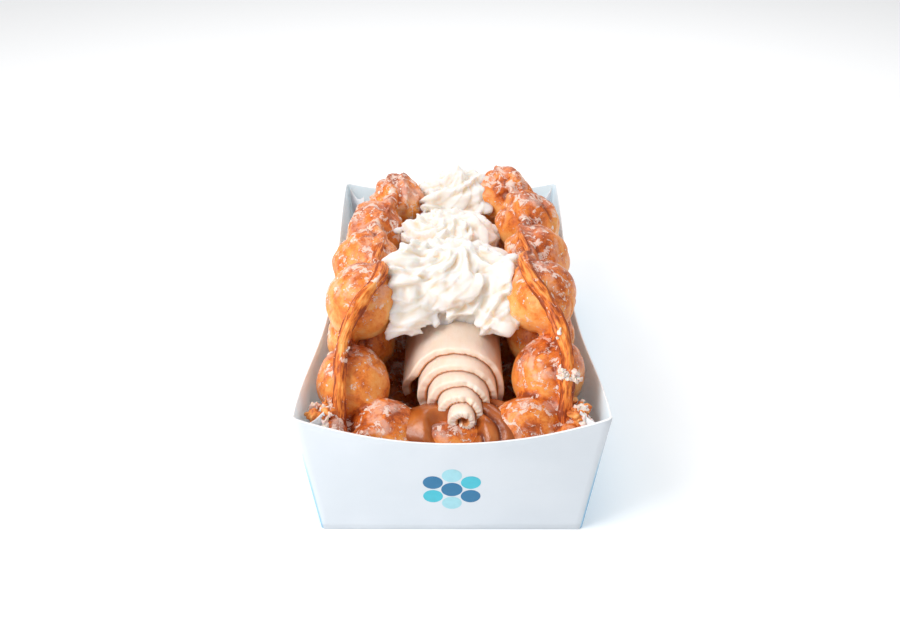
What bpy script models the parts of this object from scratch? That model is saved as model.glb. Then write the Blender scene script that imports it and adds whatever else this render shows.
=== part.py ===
"""A bubble waffle folded into a trough, with rolled ice cream, piped cream and caramel, in its paper tray.

The tray stands on z = 0 with its base centred on the origin. The open front faces -Y.
Distances called "from the front" run along +Y from the tray's front rim corners.
"""

import math
import random
from collections import namedtuple

import bmesh
import bpy
from mathutils import Matrix, Vector, noise

MM = 0.001
CLEARANCE = 0.4 * MM

# Paper tray, outside sizes
TRAY_LENGTH = 250 * MM
TRAY_WIDTH = 131.5 * MM
TRAY_HEIGHT = 68 * MM
TRAY_WALL = 1.2 * MM
TRAY_END_INSET = 10 * MM
TRAY_SIDE_INSET = 7 * MM
TRAY_END_DIP = 9 * MM
TRAY_SIDE_DIP = 16.5 * MM
TRAY_END_BOW = 4.5 * MM
TRAY_CORNER_RADIUS = 1.5 * MM
TRAY_STEPS = (12, 16)
FRONT = -TRAY_LENGTH / 2

# Waffle sheet, measured along its cross-section from the middle of the floor
SHEET_HALF_SPAN = 125 * MM
SHEET_THICKNESS = 4.4 * MM
BORDER_THICKNESS = 5.8 * MM
EDGE_WAVE = 2.2 * MM
TOP_SCALLOP = 5 * MM
TOP_SCALLOP_POWER = 6
FLOOR_HALF_WIDTH = 30.5 * MM
FOLD_RADIUS = 14 * MM
LEAN_START = 96 * MM
LEAN_IN = 13 * MM
SHEET_FRONT = 6.5 * MM
SHEET_FRONT_SETBACK = 45 * MM
SHEET_FRONT_POWER = 2.9
SHEET_REAR = 236 * MM
SHEET_REAR_SETBACK = 60 * MM
SHEET_REAR_POWER = 2.4
CURL_LENGTH = 24 * MM
CURL_START = 38 * MM
CURL_HEIGHT_MIDDLE = 26 * MM
CURL_HEIGHT_SIDES = 37 * MM
CURL_SIDE = 31 * MM
CURL_FADE_START = 33 * MM
CURL_FADE = 30 * MM
UPPER_START = 45 * MM
UPPER_LENGTH = 50 * MM
TOP_START = 82 * MM
TOP_LENGTH = 26 * MM
REAR_NARROWING = 0.44
NARROWING_START = 118 * MM
NARROWING_LENGTH = 95 * MM
RIGHT_RISE = 4.5 * MM
FRONT_FLARE = 3.5 * MM
FLARE_END = 62 * MM
FLARE_LENGTH = 26 * MM
SHEET_WAVE = 2.2 * MM
SHEET_STEPS_ACROSS = 22
SHEET_STEPS_ALONG = 15
END_CROWDING = 0.7

# Bubbles: rows by their place across the sheet, the first one's distance from the front, and how they show
BUBBLE_PITCH = 36 * MM
BUBBLE_RADIUS = 17.6 * MM
BUBBLE_DEPTH = 15.5 * MM
HIDDEN_DEPTH = 14 * MM
FLOOR_SHIFT = 3 * MM
FLAP_ROW = 60 * MM
FLAP_BUBBLE_DEPTH = 16.6 * MM
BUBBLE_ROWS = (
    (0 * MM, 50 * MM, False),
    (31 * MM, 22 * MM, True),
    (51 * MM, 28 * MM, False),
    (81 * MM, 41 * MM, True),
    (108 * MM, 65 * MM, True),
)
BUBBLE_REAR_MARGIN = 14 * MM
BUBBLE_JITTER = (1.0, 1.5)
BUBBLE_SIZES = (0.94, 1.03)
FLOOR_REACH = 40 * MM
SEEN_STEPS = (11, 7)
HIDDEN_STEPS = (7, 4)
FLAP_BUBBLE_SHIFT = 1.5 * MM
EDGE_BUBBLE = (3 * MM, 16.5 * MM, 37.5 * MM)
EDGE_BUBBLE_RADIUS = 9.5 * MM

# Rolled ice cream: one sheet rolled up, its inner turns standing further forward
ROLL_RADIUS = 22.5 * MM
ROLL_AXIS_X = 2.6 * MM
ROLL_PITCH = 3.9 * MM
ROLL_THICKNESS = 2.6 * MM
ROLL_CORE = 3.0 * MM
ROLL_CORE_SHIFT_X = 3.2 * MM
ROLL_CORE_SHIFT_Z = 2.2 * MM
ROLL_CORE_FRONT = 13.5 * MM
ROLL_OUTER_FRONT = 39.5 * MM
ROLL_FRONT_POWER = 1.25
ROLL_RAGGED = 0.7 * MM
ROLL_BACK = 196 * MM
ROLL_STEPS_A_TURN = 24
ROLL_END_ANGLE = math.radians(205)
ROLL_PEEL = 2 * MM
ROLL_SPACE_SIDES = 40
ROLL_SPACE_STEPS = 6
ROLL_SPACE_TIP = 2 * MM
ROLL_SPACE_TIP_RADIUS = 2.5 * MM
ROLL_SPACE_AHEAD = 0.5 * MM
ROLL_SPACE_BEHIND = 12 * MM

# Whipped cream. A mound is a spiral of piped rope: its middle x and distance from the front, the spiral's
# half width and half length, the first turn's height, the rise, the rope's radius, the turns, and the
# peak's height as a share of the rope's radius
CREAM_TEETH = 9
CREAM_TOOTH_DEPTH = 0.24
CREAM_TWIST = 3.0
CREAM_STEPS_A_TURN = 18
CREAM_START_ANGLE = math.radians(-63)
CREAM_CLOSING_POWER = 1.4
CREAM_THINNING = 0.42
CREAM_TIP_RADII = (0.33, 0.06)
CREAM_CORE_SHARES = (0.5, 0.9, 1.15)
Mound = namedtuple("Mound", "x along half_width half_length height rise rope turns peak")
CREAM_MOUNDS = (
    Mound(0.0 * MM, 84 * MM, 22 * MM, 17 * MM, 82 * MM, 20 * MM, 15 * MM, 2.3, 0.35),
    Mound(-1.5 * MM, 130 * MM, 15 * MM, 15 * MM, 83 * MM, 11 * MM, 14 * MM, 2.1, 0.3),
    Mound(2.5 * MM, 177 * MM, 12 * MM, 12 * MM, 85 * MM, 15 * MM, 14 * MM, 2.2, 0.75),
)
CREAM_SKIRTS = (
    ((-22 * MM, 61 * MM, 76 * MM), (10 * MM, 9 * MM, 11 * MM)),
    ((25 * MM, 63 * MM, 79 * MM), (9 * MM, 9 * MM, 10 * MM)),
)
SPINE_MIDDLE = (1 * MM, 134 * MM, 80 * MM)
SPINE_RADII = (18 * MM, 64 * MM, 11 * MM)
CREAM_VOXEL = 1.7 * MM
CREAM_FACES = 1650

# Caramel over the front bubbles
SAUCE_MIDDLE = (9 * MM, 20 * MM, 49 * MM)
SAUCE_RADII = (36 * MM, 17 * MM, 9.5 * MM)
SAUCE_RIPPLE = 1.1 * MM
SAUCE_RIPPLE_LENGTH = 8.5 * MM
SAUCE_RIPPLE_SLANT = 0.55
SAUCE_RIPPLE_START = -6 * MM
SAUCE_RIPPLE_FADE = 14 * MM
SAUCE_STEPS = (18, 6)

FLOOR_MIDDLE = TRAY_WALL + CLEARANCE + BUBBLE_DEPTH
ROLL_AXIS_HEIGHT = FLOOR_MIDDLE + BUBBLE_DEPTH + CLEARANCE + ROLL_RADIUS


def clear_scene():
    for obj in list(bpy.data.objects):
        bpy.data.objects.remove(obj)


def make_material(name, colour, roughness):
    material = bpy.data.materials.new(name)
    material.use_nodes = True
    shader = material.node_tree.nodes["Principled BSDF"]
    shader.inputs["Base Color"].default_value = (*colour, 1)
    shader.inputs["Roughness"].default_value = roughness
    return material


def make_object(name, vertices, faces):
    mesh = bpy.data.meshes.new(name)
    mesh.from_pydata(vertices, [], faces)
    mesh.update()
    obj = bpy.data.objects.new(name, mesh)
    bpy.context.scene.collection.objects.link(obj)
    return obj


def smoothstep(value):
    value = min(max(value, 0.0), 1.0)
    return value * value * (3 - 2 * value)


def rounded_rectangle(half_x, half_y, steps_x, steps_y):
    """Points round a rectangle, with how far along its side each lies (-1 to 1) and whether it is on an end."""
    points = []
    radius = TRAY_CORNER_RADIUS
    sides = (
        ((-1, -1), (1, 0), half_x, steps_x, True),
        ((1, -1), (0, 1), half_y, steps_y, False),
        ((1, 1), (-1, 0), half_x, steps_x, True),
        ((-1, 1), (0, -1), half_y, steps_y, False),
    )
    for (corner_x, corner_y), (along_x, along_y), half, steps, is_end in sides:
        for step in range(steps + 1):
            place = -1 + 2 * step / steps
            reach = place * (half - radius)
            x = corner_x * half_x if along_x == 0 else reach * along_x
            y = corner_y * half_y if along_y == 0 else reach * along_y
            points.append((x, y, place, is_end))
    return points


def tray_ring(height_share, inset):
    """One ring of the tray's wall: 0 is the base and 1 the curved rim."""
    half_x = TRAY_WIDTH / 2 - TRAY_SIDE_INSET * (1 - height_share) - inset
    half_y = TRAY_LENGTH / 2 - TRAY_END_INSET * (1 - height_share) - inset
    ring = []
    for x, y, place, is_end in rounded_rectangle(half_x, half_y, *TRAY_STEPS):
        curve = 1 - place * place
        if is_end:
            dip = TRAY_END_DIP * curve * height_share
            y += math.copysign(TRAY_END_BOW * curve * height_share, y)
        else:
            dip = TRAY_SIDE_DIP * curve * curve * height_share
            x -= math.copysign(TRAY_SIDE_INSET * dip / TRAY_HEIGHT, x)
        ring.append(Vector((x, y, TRAY_HEIGHT * height_share - dip)))
    return ring


def build_tray(material):
    outer_base = tray_ring(0, 0)
    outer_rim = tray_ring(1, 0)
    inner_rim = tray_ring(1, TRAY_WALL)
    inner_base = tray_ring(TRAY_WALL / TRAY_HEIGHT, TRAY_WALL)
    for point in inner_base:
        point.z = TRAY_WALL
    rings = [outer_base, outer_rim, inner_rim, inner_base]
    count = len(outer_base)
    vertices = [point for ring in rings for point in ring]
    faces = []
    for level in range(len(rings) - 1):
        for step in range(count):
            following = (step + 1) % count
            low = level * count
            high = low + count
            faces.append((low + step, low + following, high + following, high + step))
    faces.append(tuple(reversed(range(count))))
    last = 3 * count
    faces.append(tuple(range(last, last + count)))
    tray = make_object("paper_tray", vertices, faces)
    tray.data.materials.append(material)


def sheet_front(across):
    wave = EDGE_WAVE * noise.noise(Vector((across * 45, 8.1, 2.5)))
    setback = SHEET_FRONT_SETBACK * (abs(across) / SHEET_HALF_SPAN) ** SHEET_FRONT_POWER
    return SHEET_FRONT + setback + max(wave, 0)


def sheet_rear(across):
    return SHEET_REAR - SHEET_REAR_SETBACK * (abs(across) / SHEET_HALF_SPAN) ** SHEET_REAR_POWER


def curl_lift(across, along):
    """How far the sheet's front and rear ends turn up against the tray's end panels."""
    from_end = min(along, TRAY_LENGTH - along)
    side_share = min(abs(across) / CURL_SIDE, 1)
    height = CURL_HEIGHT_MIDDLE + (CURL_HEIGHT_SIDES - CURL_HEIGHT_MIDDLE) * side_share**2
    end_share = smoothstep((CURL_START - from_end) / CURL_LENGTH)
    return height * end_share * (1 - smoothstep((abs(across) - CURL_FADE_START) / CURL_FADE))


def sheet_point(across, along, flare=FRONT_FLARE):
    """The middle of the sheet at a distance across from its centre line and along from the front."""
    side = abs(across)
    fold_length = FOLD_RADIUS * math.pi / 2
    if side < FLOOR_HALF_WIDTH:
        x = side
        z = 0.0
    elif side < FLOOR_HALF_WIDTH + fold_length:
        angle = (side - FLOOR_HALF_WIDTH) / FOLD_RADIUS
        x = FLOOR_HALF_WIDTH + FOLD_RADIUS * math.sin(angle)
        z = FOLD_RADIUS * (1 - math.cos(angle))
    else:
        x = FLOOR_HALF_WIDTH + FOLD_RADIUS
        z = FOLD_RADIUS + side - FLOOR_HALF_WIDTH - fold_length
    lean = max(side - LEAN_START, 0) / (SHEET_HALF_SPAN - LEAN_START)
    x -= LEAN_IN * lean * lean
    upper = smoothstep((side - UPPER_START) / UPPER_LENGTH)
    top = smoothstep((side - TOP_START) / TOP_LENGTH)
    closing = smoothstep((along - NARROWING_START) / NARROWING_LENGTH) * REAR_NARROWING
    x *= 1 - closing * top
    wave = noise.noise(Vector((across * 22 + 3.7, along * 26, 0.4)))
    x += SHEET_WAVE * wave * upper
    x += flare * upper * smoothstep((FLARE_END - along) / FLARE_LENGTH)
    z += FLOOR_MIDDLE + curl_lift(across, along)
    if across > 0:
        z += RIGHT_RISE * upper
    return Vector((math.copysign(x, across), FRONT + along, z))


def scalloped(across, along):
    """The top edge dips between the bubbles of the row below it."""
    first = BUBBLE_ROWS[-1][1]
    dip = TOP_SCALLOP * (0.5 - 0.5 * math.cos(2 * math.pi * (along - first) / BUBBLE_PITCH))
    return across - math.copysign(dip * (abs(across) / SHEET_HALF_SPAN) ** TOP_SCALLOP_POWER, across)


def sheet_normal(across, along):
    step = 0.5 * MM
    over = sheet_point(across + step, along) - sheet_point(across - step, along)
    on = sheet_point(across, along + step) - sheet_point(across, along - step)
    return over.cross(on).normalized()


def build_sheet(extra):
    """The sheet between and round the bubbles, as one closed slab; extra thickens it all over."""
    top = []
    bottom = []
    for row in range(SHEET_STEPS_ACROSS + 1):
        across = SHEET_HALF_SPAN * (-1 + 2 * row / SHEET_STEPS_ACROSS)
        first = sheet_front(across)
        last = sheet_rear(across)
        for step in range(SHEET_STEPS_ALONG + 1):
            share = step / SHEET_STEPS_ALONG
            share += (0.5 - 0.5 * math.cos(math.pi * share) - share) * END_CROWDING
            along = first + (last - first) * share
            place = scalloped(across, along)
            middle = sheet_point(place, along)
            normal = sheet_normal(place, along)
            half = SHEET_THICKNESS / 2 + extra
            if step in (0, SHEET_STEPS_ALONG):
                middle.y += math.copysign(extra, step - 1)
                half = BORDER_THICKNESS / 2 + extra
            if row in (0, SHEET_STEPS_ACROSS):
                middle.z += extra
                half = BORDER_THICKNESS / 2 + extra
            top.append(middle + normal * half)
            bottom.append(middle - normal * half)
    vertices = top + bottom
    total = len(top)
    columns = SHEET_STEPS_ALONG + 1
    faces = []
    for row in range(SHEET_STEPS_ACROSS):
        for step in range(SHEET_STEPS_ALONG):
            a = row * columns + step
            b = a + columns
            faces.append((a, b, b + 1, a + 1))
            faces.append((total + a, total + a + 1, total + b + 1, total + b))
    border = [row * columns for row in range(SHEET_STEPS_ACROSS + 1)]
    border += [SHEET_STEPS_ACROSS * columns + step for step in range(1, columns)]
    border += [row * columns + columns - 1 for row in range(SHEET_STEPS_ACROSS - 1, -1, -1)]
    border += [step for step in range(columns - 2, 0, -1)]
    for index, a in enumerate(border):
        b = border[(index + 1) % len(border)]
        faces.append((a, total + a, total + b, b))
    return make_object("sheet", vertices, faces)


def bubble_places():
    """Each bubble's middle, the sheet's normal there, its radius and depth, and whether it shows."""
    draw = random.Random(7)
    jitter_across, jitter_along = BUBBLE_JITTER
    places = []
    for across, first, shows in BUBBLE_ROWS:
        for side in (-1, 1) if across else (1,):
            along = first
            while along < sheet_rear(across) - BUBBLE_REAR_MARGIN:
                shift = FLOOR_SHIFT if across < FLOOR_REACH else 0
                row = side * across + shift + draw.uniform(-jitter_across, jitter_across) * MM
                place = along + draw.uniform(-jitter_along, jitter_along) * MM
                size = draw.uniform(*BUBBLE_SIZES)
                middle = sheet_point(row, place, 0)
                normal = sheet_normal(row, place)
                seen = shows and (across > FLOOR_REACH or along == first)
                depth = BUBBLE_DEPTH if shows or not across else HIDDEN_DEPTH
                depth = FLAP_BUBBLE_DEPTH if across > FLAP_ROW else depth
                if across > FLAP_ROW:
                    middle.x -= side * FLAP_BUBBLE_SHIFT
                places.append((middle, normal, BUBBLE_RADIUS * size, depth * min(size, 1), seen))
                along += BUBBLE_PITCH
    small = Vector(EDGE_BUBBLE) + Vector((0, FRONT, 0))
    places.append((small, Vector((0, -0.5, 0.87)), EDGE_BUBBLE_RADIUS, EDGE_BUBBLE_RADIUS, True))
    return places


def build_bubble(index, place, extra):
    middle, normal, radius, depth, shows = place
    mesh = bmesh.new()
    segments, rings = SEEN_STEPS if shows else HIDDEN_STEPS
    bmesh.ops.create_uvsphere(mesh, u_segments=segments, v_segments=rings, radius=1)
    turn = normal.to_track_quat("Z", "Y").to_matrix().to_4x4()
    size = Matrix.Diagonal((radius + extra, radius + extra, depth + extra, 1))
    bmesh.ops.transform(mesh, matrix=Matrix.Translation(middle) @ turn @ size, verts=mesh.verts)
    data = bpy.data.meshes.new(f"bubble_{index}")
    mesh.to_mesh(data)
    mesh.free()
    obj = bpy.data.objects.new(f"bubble_{index}", data)
    return obj


def apply_modifiers(obj):
    graph = bpy.context.evaluated_depsgraph_get()
    mesh = bpy.data.meshes.new_from_object(obj.evaluated_get(graph))
    obj.modifiers.clear()
    obj.data = mesh


def boolean(obj, operation, other=None, collection=None):
    cut = obj.modifiers.new(operation.lower(), "BOOLEAN")
    cut.operation = operation
    cut.solver = "MANIFOLD"
    if collection:
        cut.operand_type = "COLLECTION"
        cut.collection = collection
    else:
        cut.object = other
    apply_modifiers(obj)


def fused_waffle(name, extra):
    """The sheet with all its bubbles joined on as one body."""
    sheet = build_sheet(extra)
    sheet.name = name
    group = bpy.data.collections.new(name + "_bubbles")
    bpy.context.scene.collection.children.link(group)
    for index, place in enumerate(bubble_places()):
        group.objects.link(build_bubble(index, place, extra))
    boolean(sheet, "UNION", collection=group)
    for obj in list(group.objects):
        bpy.data.objects.remove(obj)
    bpy.data.collections.remove(group)
    keep_largest_body(sheet)
    return sheet


def keep_largest_body(obj):
    mesh = bmesh.new()
    mesh.from_mesh(obj.data)
    bmesh.ops.triangulate(mesh, faces=mesh.faces)
    bodies = []
    seen = set()
    for start in mesh.verts:
        if start in seen:
            continue
        body = [start]
        seen.add(start)
        for vertex in body:
            for edge in vertex.link_edges:
                other = edge.other_vert(vertex)
                if other not in seen:
                    seen.add(other)
                    body.append(other)
        bodies.append(body)
    bodies.sort(key=len)
    loose = [vertex for body in bodies[:-1] for vertex in body]
    bmesh.ops.delete(mesh, geom=loose, context="VERTS")
    mesh.to_mesh(obj.data)
    mesh.free()


def roll_front(radius):
    """How far from the front the roll's turn of this radius begins."""
    share = (radius - ROLL_CORE) / (ROLL_RADIUS - ROLL_CORE)
    return ROLL_CORE_FRONT + (ROLL_OUTER_FRONT - ROLL_CORE_FRONT) * max(share, 0) ** ROLL_FRONT_POWER


def roll_centre(radius):
    share = 1 - radius / ROLL_RADIUS
    return ROLL_AXIS_X + ROLL_CORE_SHIFT_X * share, ROLL_AXIS_HEIGHT + ROLL_CORE_SHIFT_Z * share


def roll_point(radius, angle, along):
    centre_x, centre_z = roll_centre(radius)
    return Vector((centre_x + radius * math.cos(angle), FRONT + along, centre_z + radius * math.sin(angle)))


def build_roll(material):
    """A sheet of ice cream rolled into a spiral, with a thin gap between its turns."""
    turns = (ROLL_RADIUS - ROLL_CORE) / ROLL_PITCH
    steps = round(turns * ROLL_STEPS_A_TURN)
    vertices = []
    for step in range(steps + 1):
        share = step / steps
        outer = ROLL_CORE + (ROLL_RADIUS - ROLL_CORE) * share
        angle = 2 * math.pi * turns * (share - 1) + ROLL_END_ANGLE
        outer += ROLL_PEEL * smoothstep((share - 1) * turns * 8 + 1)
        inner = outer - ROLL_THICKNESS
        front = roll_front(outer) + ROLL_RAGGED * noise.noise(Vector((angle * 1.9, 4.2, 0.3)))
        middle = (front + ROLL_BACK) / 2
        for radius, along in (
            (outer, front),
            (outer, middle),
            (outer, ROLL_BACK),
            (inner, ROLL_BACK),
            (inner, middle),
            (inner, front),
        ):
            vertices.append(roll_point(radius, angle, along))
    faces = []
    for step in range(steps):
        a = step * 6
        b = a + 6
        for corner in range(6):
            following = (corner + 1) % 6
            faces.append((a + corner, b + corner, b + following, a + following))
    faces.append(tuple(range(6)))
    last = steps * 6
    faces.append(tuple(last + corner for corner in reversed(range(6))))
    roll = make_object("ice_cream_roll", vertices, faces)
    face_out(roll)
    roll.data.materials.append(material)
    return roll


def face_out(obj):
    mesh = bmesh.new()
    mesh.from_mesh(obj.data)
    bmesh.ops.triangulate(mesh, faces=mesh.faces)
    bmesh.ops.recalc_face_normals(mesh, faces=mesh.faces)
    mesh.to_mesh(obj.data)
    mesh.free()


def roll_cutter():
    """The space the roll takes, with its clearance: a turned shape that steps down towards the core."""
    segments = ROLL_SPACE_SIDES
    stations = [ROLL_CORE_FRONT - ROLL_SPACE_TIP]
    radii = [ROLL_CORE + ROLL_SPACE_TIP_RADIUS]
    for step in range(ROLL_SPACE_STEPS + 1):
        share = step / ROLL_SPACE_STEPS
        radius = ROLL_CORE + (ROLL_RADIUS - ROLL_CORE) * share
        stations.append(roll_front(radius) - ROLL_SPACE_AHEAD)
        radii.append(radius + ROLL_PITCH * (1 - share) + CLEARANCE)
    stations.append(ROLL_BACK + ROLL_SPACE_BEHIND)
    radii.append(ROLL_RADIUS + CLEARANCE)
    vertices = []
    for along, radius in zip(stations, radii):
        for step in range(segments):
            centre_x, centre_z = roll_centre(min(radius, ROLL_RADIUS))
            angle = 2 * math.pi * step / segments
            x = centre_x + radius * math.cos(angle)
            z = centre_z + radius * math.sin(angle)
            vertices.append((x, FRONT + along, z))
    faces = []
    for ring in range(len(stations) - 1):
        for step in range(segments):
            a = ring * segments + step
            b = ring * segments + (step + 1) % segments
            faces.append((a, b, b + segments, a + segments))
    faces.append(tuple(range(segments)))
    faces.append(tuple((len(stations) - 1) * segments + step for step in reversed(range(segments))))
    cutter = make_object("roll_cutter", vertices, faces)
    face_out(cutter)
    return cutter


def star_rope(name, path, radii, twist):
    """A rope of piped cream with a toothed section along a path; it tapers to a point at its end."""
    ring_points = CREAM_TEETH * 2
    vertices = []
    count = len(path)
    for index, middle in enumerate(path):
        ahead = path[min(index + 1, count - 1)]
        behind = path[max(index - 1, 0)]
        tangent = (ahead - behind).normalized()
        side = tangent.cross(Vector((0, 0, 1)))
        side = side.normalized() if side.length > 0.2 else Vector((1, 0, 0))
        up = side.cross(tangent).normalized()
        for step in range(ring_points):
            angle = 2 * math.pi * step / ring_points + twist * index / count
            reach = radii[index] * (1 if step % 2 == 0 else 1 - CREAM_TOOTH_DEPTH)
            vertices.append(middle + (side * math.cos(angle) + up * math.sin(angle)) * reach)
    faces = []
    for ring in range(count - 1):
        for step in range(ring_points):
            a = ring * ring_points + step
            b = ring * ring_points + (step + 1) % ring_points
            faces.append((a, b, b + ring_points, a + ring_points))
    faces.append(tuple(range(ring_points)))
    faces.append(tuple((count - 1) * ring_points + step for step in reversed(range(ring_points))))
    return make_object(name, vertices, faces)


def mound_path(mound):
    """A spiral that rises and closes in, as the nozzle moved, with the rope's radius at each point."""
    steps = round(mound.turns * CREAM_STEPS_A_TURN)
    path = []
    radii = []
    for step in range(steps + 1):
        share = step / steps
        angle = 2 * math.pi * mound.turns * share + CREAM_START_ANGLE
        spread = 1 - share**CREAM_CLOSING_POWER
        x = mound.x + mound.half_width * spread * math.cos(angle)
        y = FRONT + mound.along + mound.half_length * spread * math.sin(angle)
        path.append(Vector((x, y, mound.height + mound.rise * share)))
        radii.append(mound.rope * (1 - CREAM_THINNING * share))
    tip = path[-1] + Vector((0, 0, mound.rope * mound.peak))
    path += [(path[-1] + tip) / 2, tip]
    radii += [mound.rope * share for share in CREAM_TIP_RADII]
    return path, radii


def ellipsoid(name, middle, radii, segments=24, rings=12):
    mesh = bmesh.new()
    bmesh.ops.create_uvsphere(mesh, u_segments=segments, v_segments=rings, radius=1)
    size = Matrix.Diagonal((*radii, 1))
    bmesh.ops.transform(mesh, matrix=Matrix.Translation(middle) @ size, verts=mesh.verts)
    data = bpy.data.meshes.new(name)
    mesh.to_mesh(data)
    mesh.free()
    obj = bpy.data.objects.new(name, data)
    bpy.context.scene.collection.objects.link(obj)
    return obj


def build_cream(material, waffle_cutter, cutter):
    pieces = [ellipsoid("spine", Vector(SPINE_MIDDLE) + Vector((0, FRONT, 0)), SPINE_RADII)]
    for index, mound in enumerate(CREAM_MOUNDS):
        path, radii = mound_path(mound)
        pieces.append(star_rope(f"rope_{index}", path, radii, CREAM_TWIST))
        wide, long, high = (share * mound.rope for share in CREAM_CORE_SHARES)
        size = (mound.half_width + wide, mound.half_length + long, high)
        pieces.append(ellipsoid("core", Vector((mound.x, FRONT + mound.along, mound.height)), size))
    for middle, radii in CREAM_SKIRTS:
        pieces.append(ellipsoid("skirt", Vector(middle) + Vector((0, FRONT, 0)), radii, 16, 8))
    cream = joined("whipped_cream", pieces)
    remesh = cream.modifiers.new("voxels", "REMESH")
    remesh.mode = "VOXEL"
    remesh.voxel_size = CREAM_VOXEL
    fewer = cream.modifiers.new("fewer", "DECIMATE")
    apply_modifiers_with_ratio(cream, fewer, CREAM_FACES)
    keep_largest_body(cream)
    boolean(cream, "DIFFERENCE", cutter)
    boolean(cream, "DIFFERENCE", waffle_cutter)
    keep_largest_body(cream)
    cream.data.materials.clear()
    cream.data.materials.append(material)
    return cream


def apply_modifiers_with_ratio(obj, fewer, wanted):
    """Applies the modifiers once the share of faces to keep is known."""
    fewer.ratio = 1.0
    graph = bpy.context.evaluated_depsgraph_get()
    mesh = obj.evaluated_get(graph).data
    count = sum(len(polygon.vertices) - 2 for polygon in mesh.polygons)
    fewer.ratio = min(1.0, wanted / count)
    apply_modifiers(obj)


def joined(name, objects):
    mesh = bmesh.new()
    for obj in objects:
        mesh.from_mesh(obj.data)
    data = bpy.data.meshes.new(name)
    mesh.to_mesh(data)
    mesh.free()
    for obj in objects:
        bpy.data.objects.remove(obj)
    result = bpy.data.objects.new(name, data)
    bpy.context.scene.collection.objects.link(result)
    return result


def build_sauce(material, waffle_cutter, cutter):
    """A pool of caramel with soft ripples, lying between the front bubbles."""
    mesh = bmesh.new()
    segments, rings = SAUCE_STEPS
    bmesh.ops.create_uvsphere(mesh, u_segments=segments, v_segments=rings, radius=1)
    middle_x, along, height = SAUCE_MIDDLE
    half_x, half_y, half_z = SAUCE_RADII
    for vertex in mesh.verts:
        flat = Vector((vertex.co.x * half_x, vertex.co.y * half_y, 0))
        slant = (flat.x - SAUCE_RIPPLE_SLANT * flat.y) / SAUCE_RIPPLE_LENGTH
        fade = smoothstep((flat.x - SAUCE_RIPPLE_START) / SAUCE_RIPPLE_FADE)
        ripple = SAUCE_RIPPLE * math.sin(2 * math.pi * slant) * fade
        top = vertex.co.z * half_z + (ripple if vertex.co.z > 0.1 else 0)
        vertex.co = Vector((middle_x + flat.x, FRONT + along + flat.y, height + top))
    data = bpy.data.meshes.new("caramel_sauce")
    mesh.to_mesh(data)
    mesh.free()
    sauce = bpy.data.objects.new("caramel_sauce", data)
    bpy.context.scene.collection.objects.link(sauce)
    boolean(sauce, "DIFFERENCE", cutter)
    boolean(sauce, "DIFFERENCE", waffle_cutter)
    keep_largest_body(sauce)
    sauce.data.materials.clear()
    sauce.data.materials.append(material)


def main():
    clear_scene()
    build_tray(make_material("tray_paper", (0.72, 0.80, 0.86), 0.6))
    crust = make_material("waffle_crust", (0.62, 0.26, 0.06), 0.5)
    waffle = fused_waffle("waffle", 0)
    waffle.data.materials.clear()
    waffle.data.materials.append(crust)
    waffle_cutter = fused_waffle("waffle_cutter", CLEARANCE)
    cutter = roll_cutter()
    build_roll(make_material("ice_cream", (0.87, 0.62, 0.42), 0.45))
    build_cream(make_material("cream", (0.93, 0.88, 0.80), 0.5), waffle_cutter, cutter)
    build_sauce(make_material("caramel", (0.42, 0.15, 0.03), 0.15), waffle_cutter, cutter)
    for obj in (waffle_cutter, cutter):
        bpy.data.objects.remove(obj)


main()
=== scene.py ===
"""Looks for the bubble waffle in its paper tray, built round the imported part.

Distances called "from the front" run along +Y from the tray's front rim corners, as in the part's source.
"""

import random
from math import copysign, cos, exp, pi, radians, sin, sqrt

import bmesh
import bpy
import numpy as np
from mathutils import Matrix, Vector, noise


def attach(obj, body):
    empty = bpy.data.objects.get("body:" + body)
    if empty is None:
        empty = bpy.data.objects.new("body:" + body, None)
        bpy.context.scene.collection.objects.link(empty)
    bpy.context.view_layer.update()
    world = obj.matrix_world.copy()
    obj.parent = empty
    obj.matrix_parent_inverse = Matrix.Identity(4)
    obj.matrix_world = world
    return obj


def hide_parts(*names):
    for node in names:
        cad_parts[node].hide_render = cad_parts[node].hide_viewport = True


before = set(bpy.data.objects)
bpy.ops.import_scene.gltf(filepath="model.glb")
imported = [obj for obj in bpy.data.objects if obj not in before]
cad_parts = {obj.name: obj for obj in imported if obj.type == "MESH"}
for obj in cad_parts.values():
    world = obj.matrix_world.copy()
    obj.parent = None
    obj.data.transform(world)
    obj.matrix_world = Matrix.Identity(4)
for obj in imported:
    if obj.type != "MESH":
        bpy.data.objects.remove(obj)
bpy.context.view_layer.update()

MM = 0.001
CLEARANCE = 0.4 * MM

# Paper tray
TRAY_LENGTH = 250 * MM
TRAY_WIDTH = 131.5 * MM
TRAY_HEIGHT = 68 * MM
TRAY_WALL = 1.2 * MM
TRAY_END_INSET = 10 * MM
TRAY_SIDE_INSET = 7 * MM
TRAY_END_DIP = 9 * MM
TRAY_SIDE_DIP = 16.5 * MM
TRAY_END_BOW = 4.5 * MM
TRAY_CORNER_RADIUS = 1.5 * MM
BOARD = 0.8 * MM
FRONT = -TRAY_LENGTH / 2

# Dots printed on the front panel
DOT_RADIUS_MIDDLE = 4.6 * MM
DOT_RADIUS = 4.3 * MM
DOT_SPACING = 9.4 * MM
DOT_HEIGHT = 29 * MM
DOT_BEVEL = 0.05 * MM
DOT_INK = 0.06 * MM
DOT_GAP = 0.02 * MM
INKS = (
    ("ink_deep", (0.006, 0.155, 0.33)),
    ("ink_teal", (0.045, 0.50, 0.62)),
    ("ink_pale", (0.34, 0.66, 0.74)),
)

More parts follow.
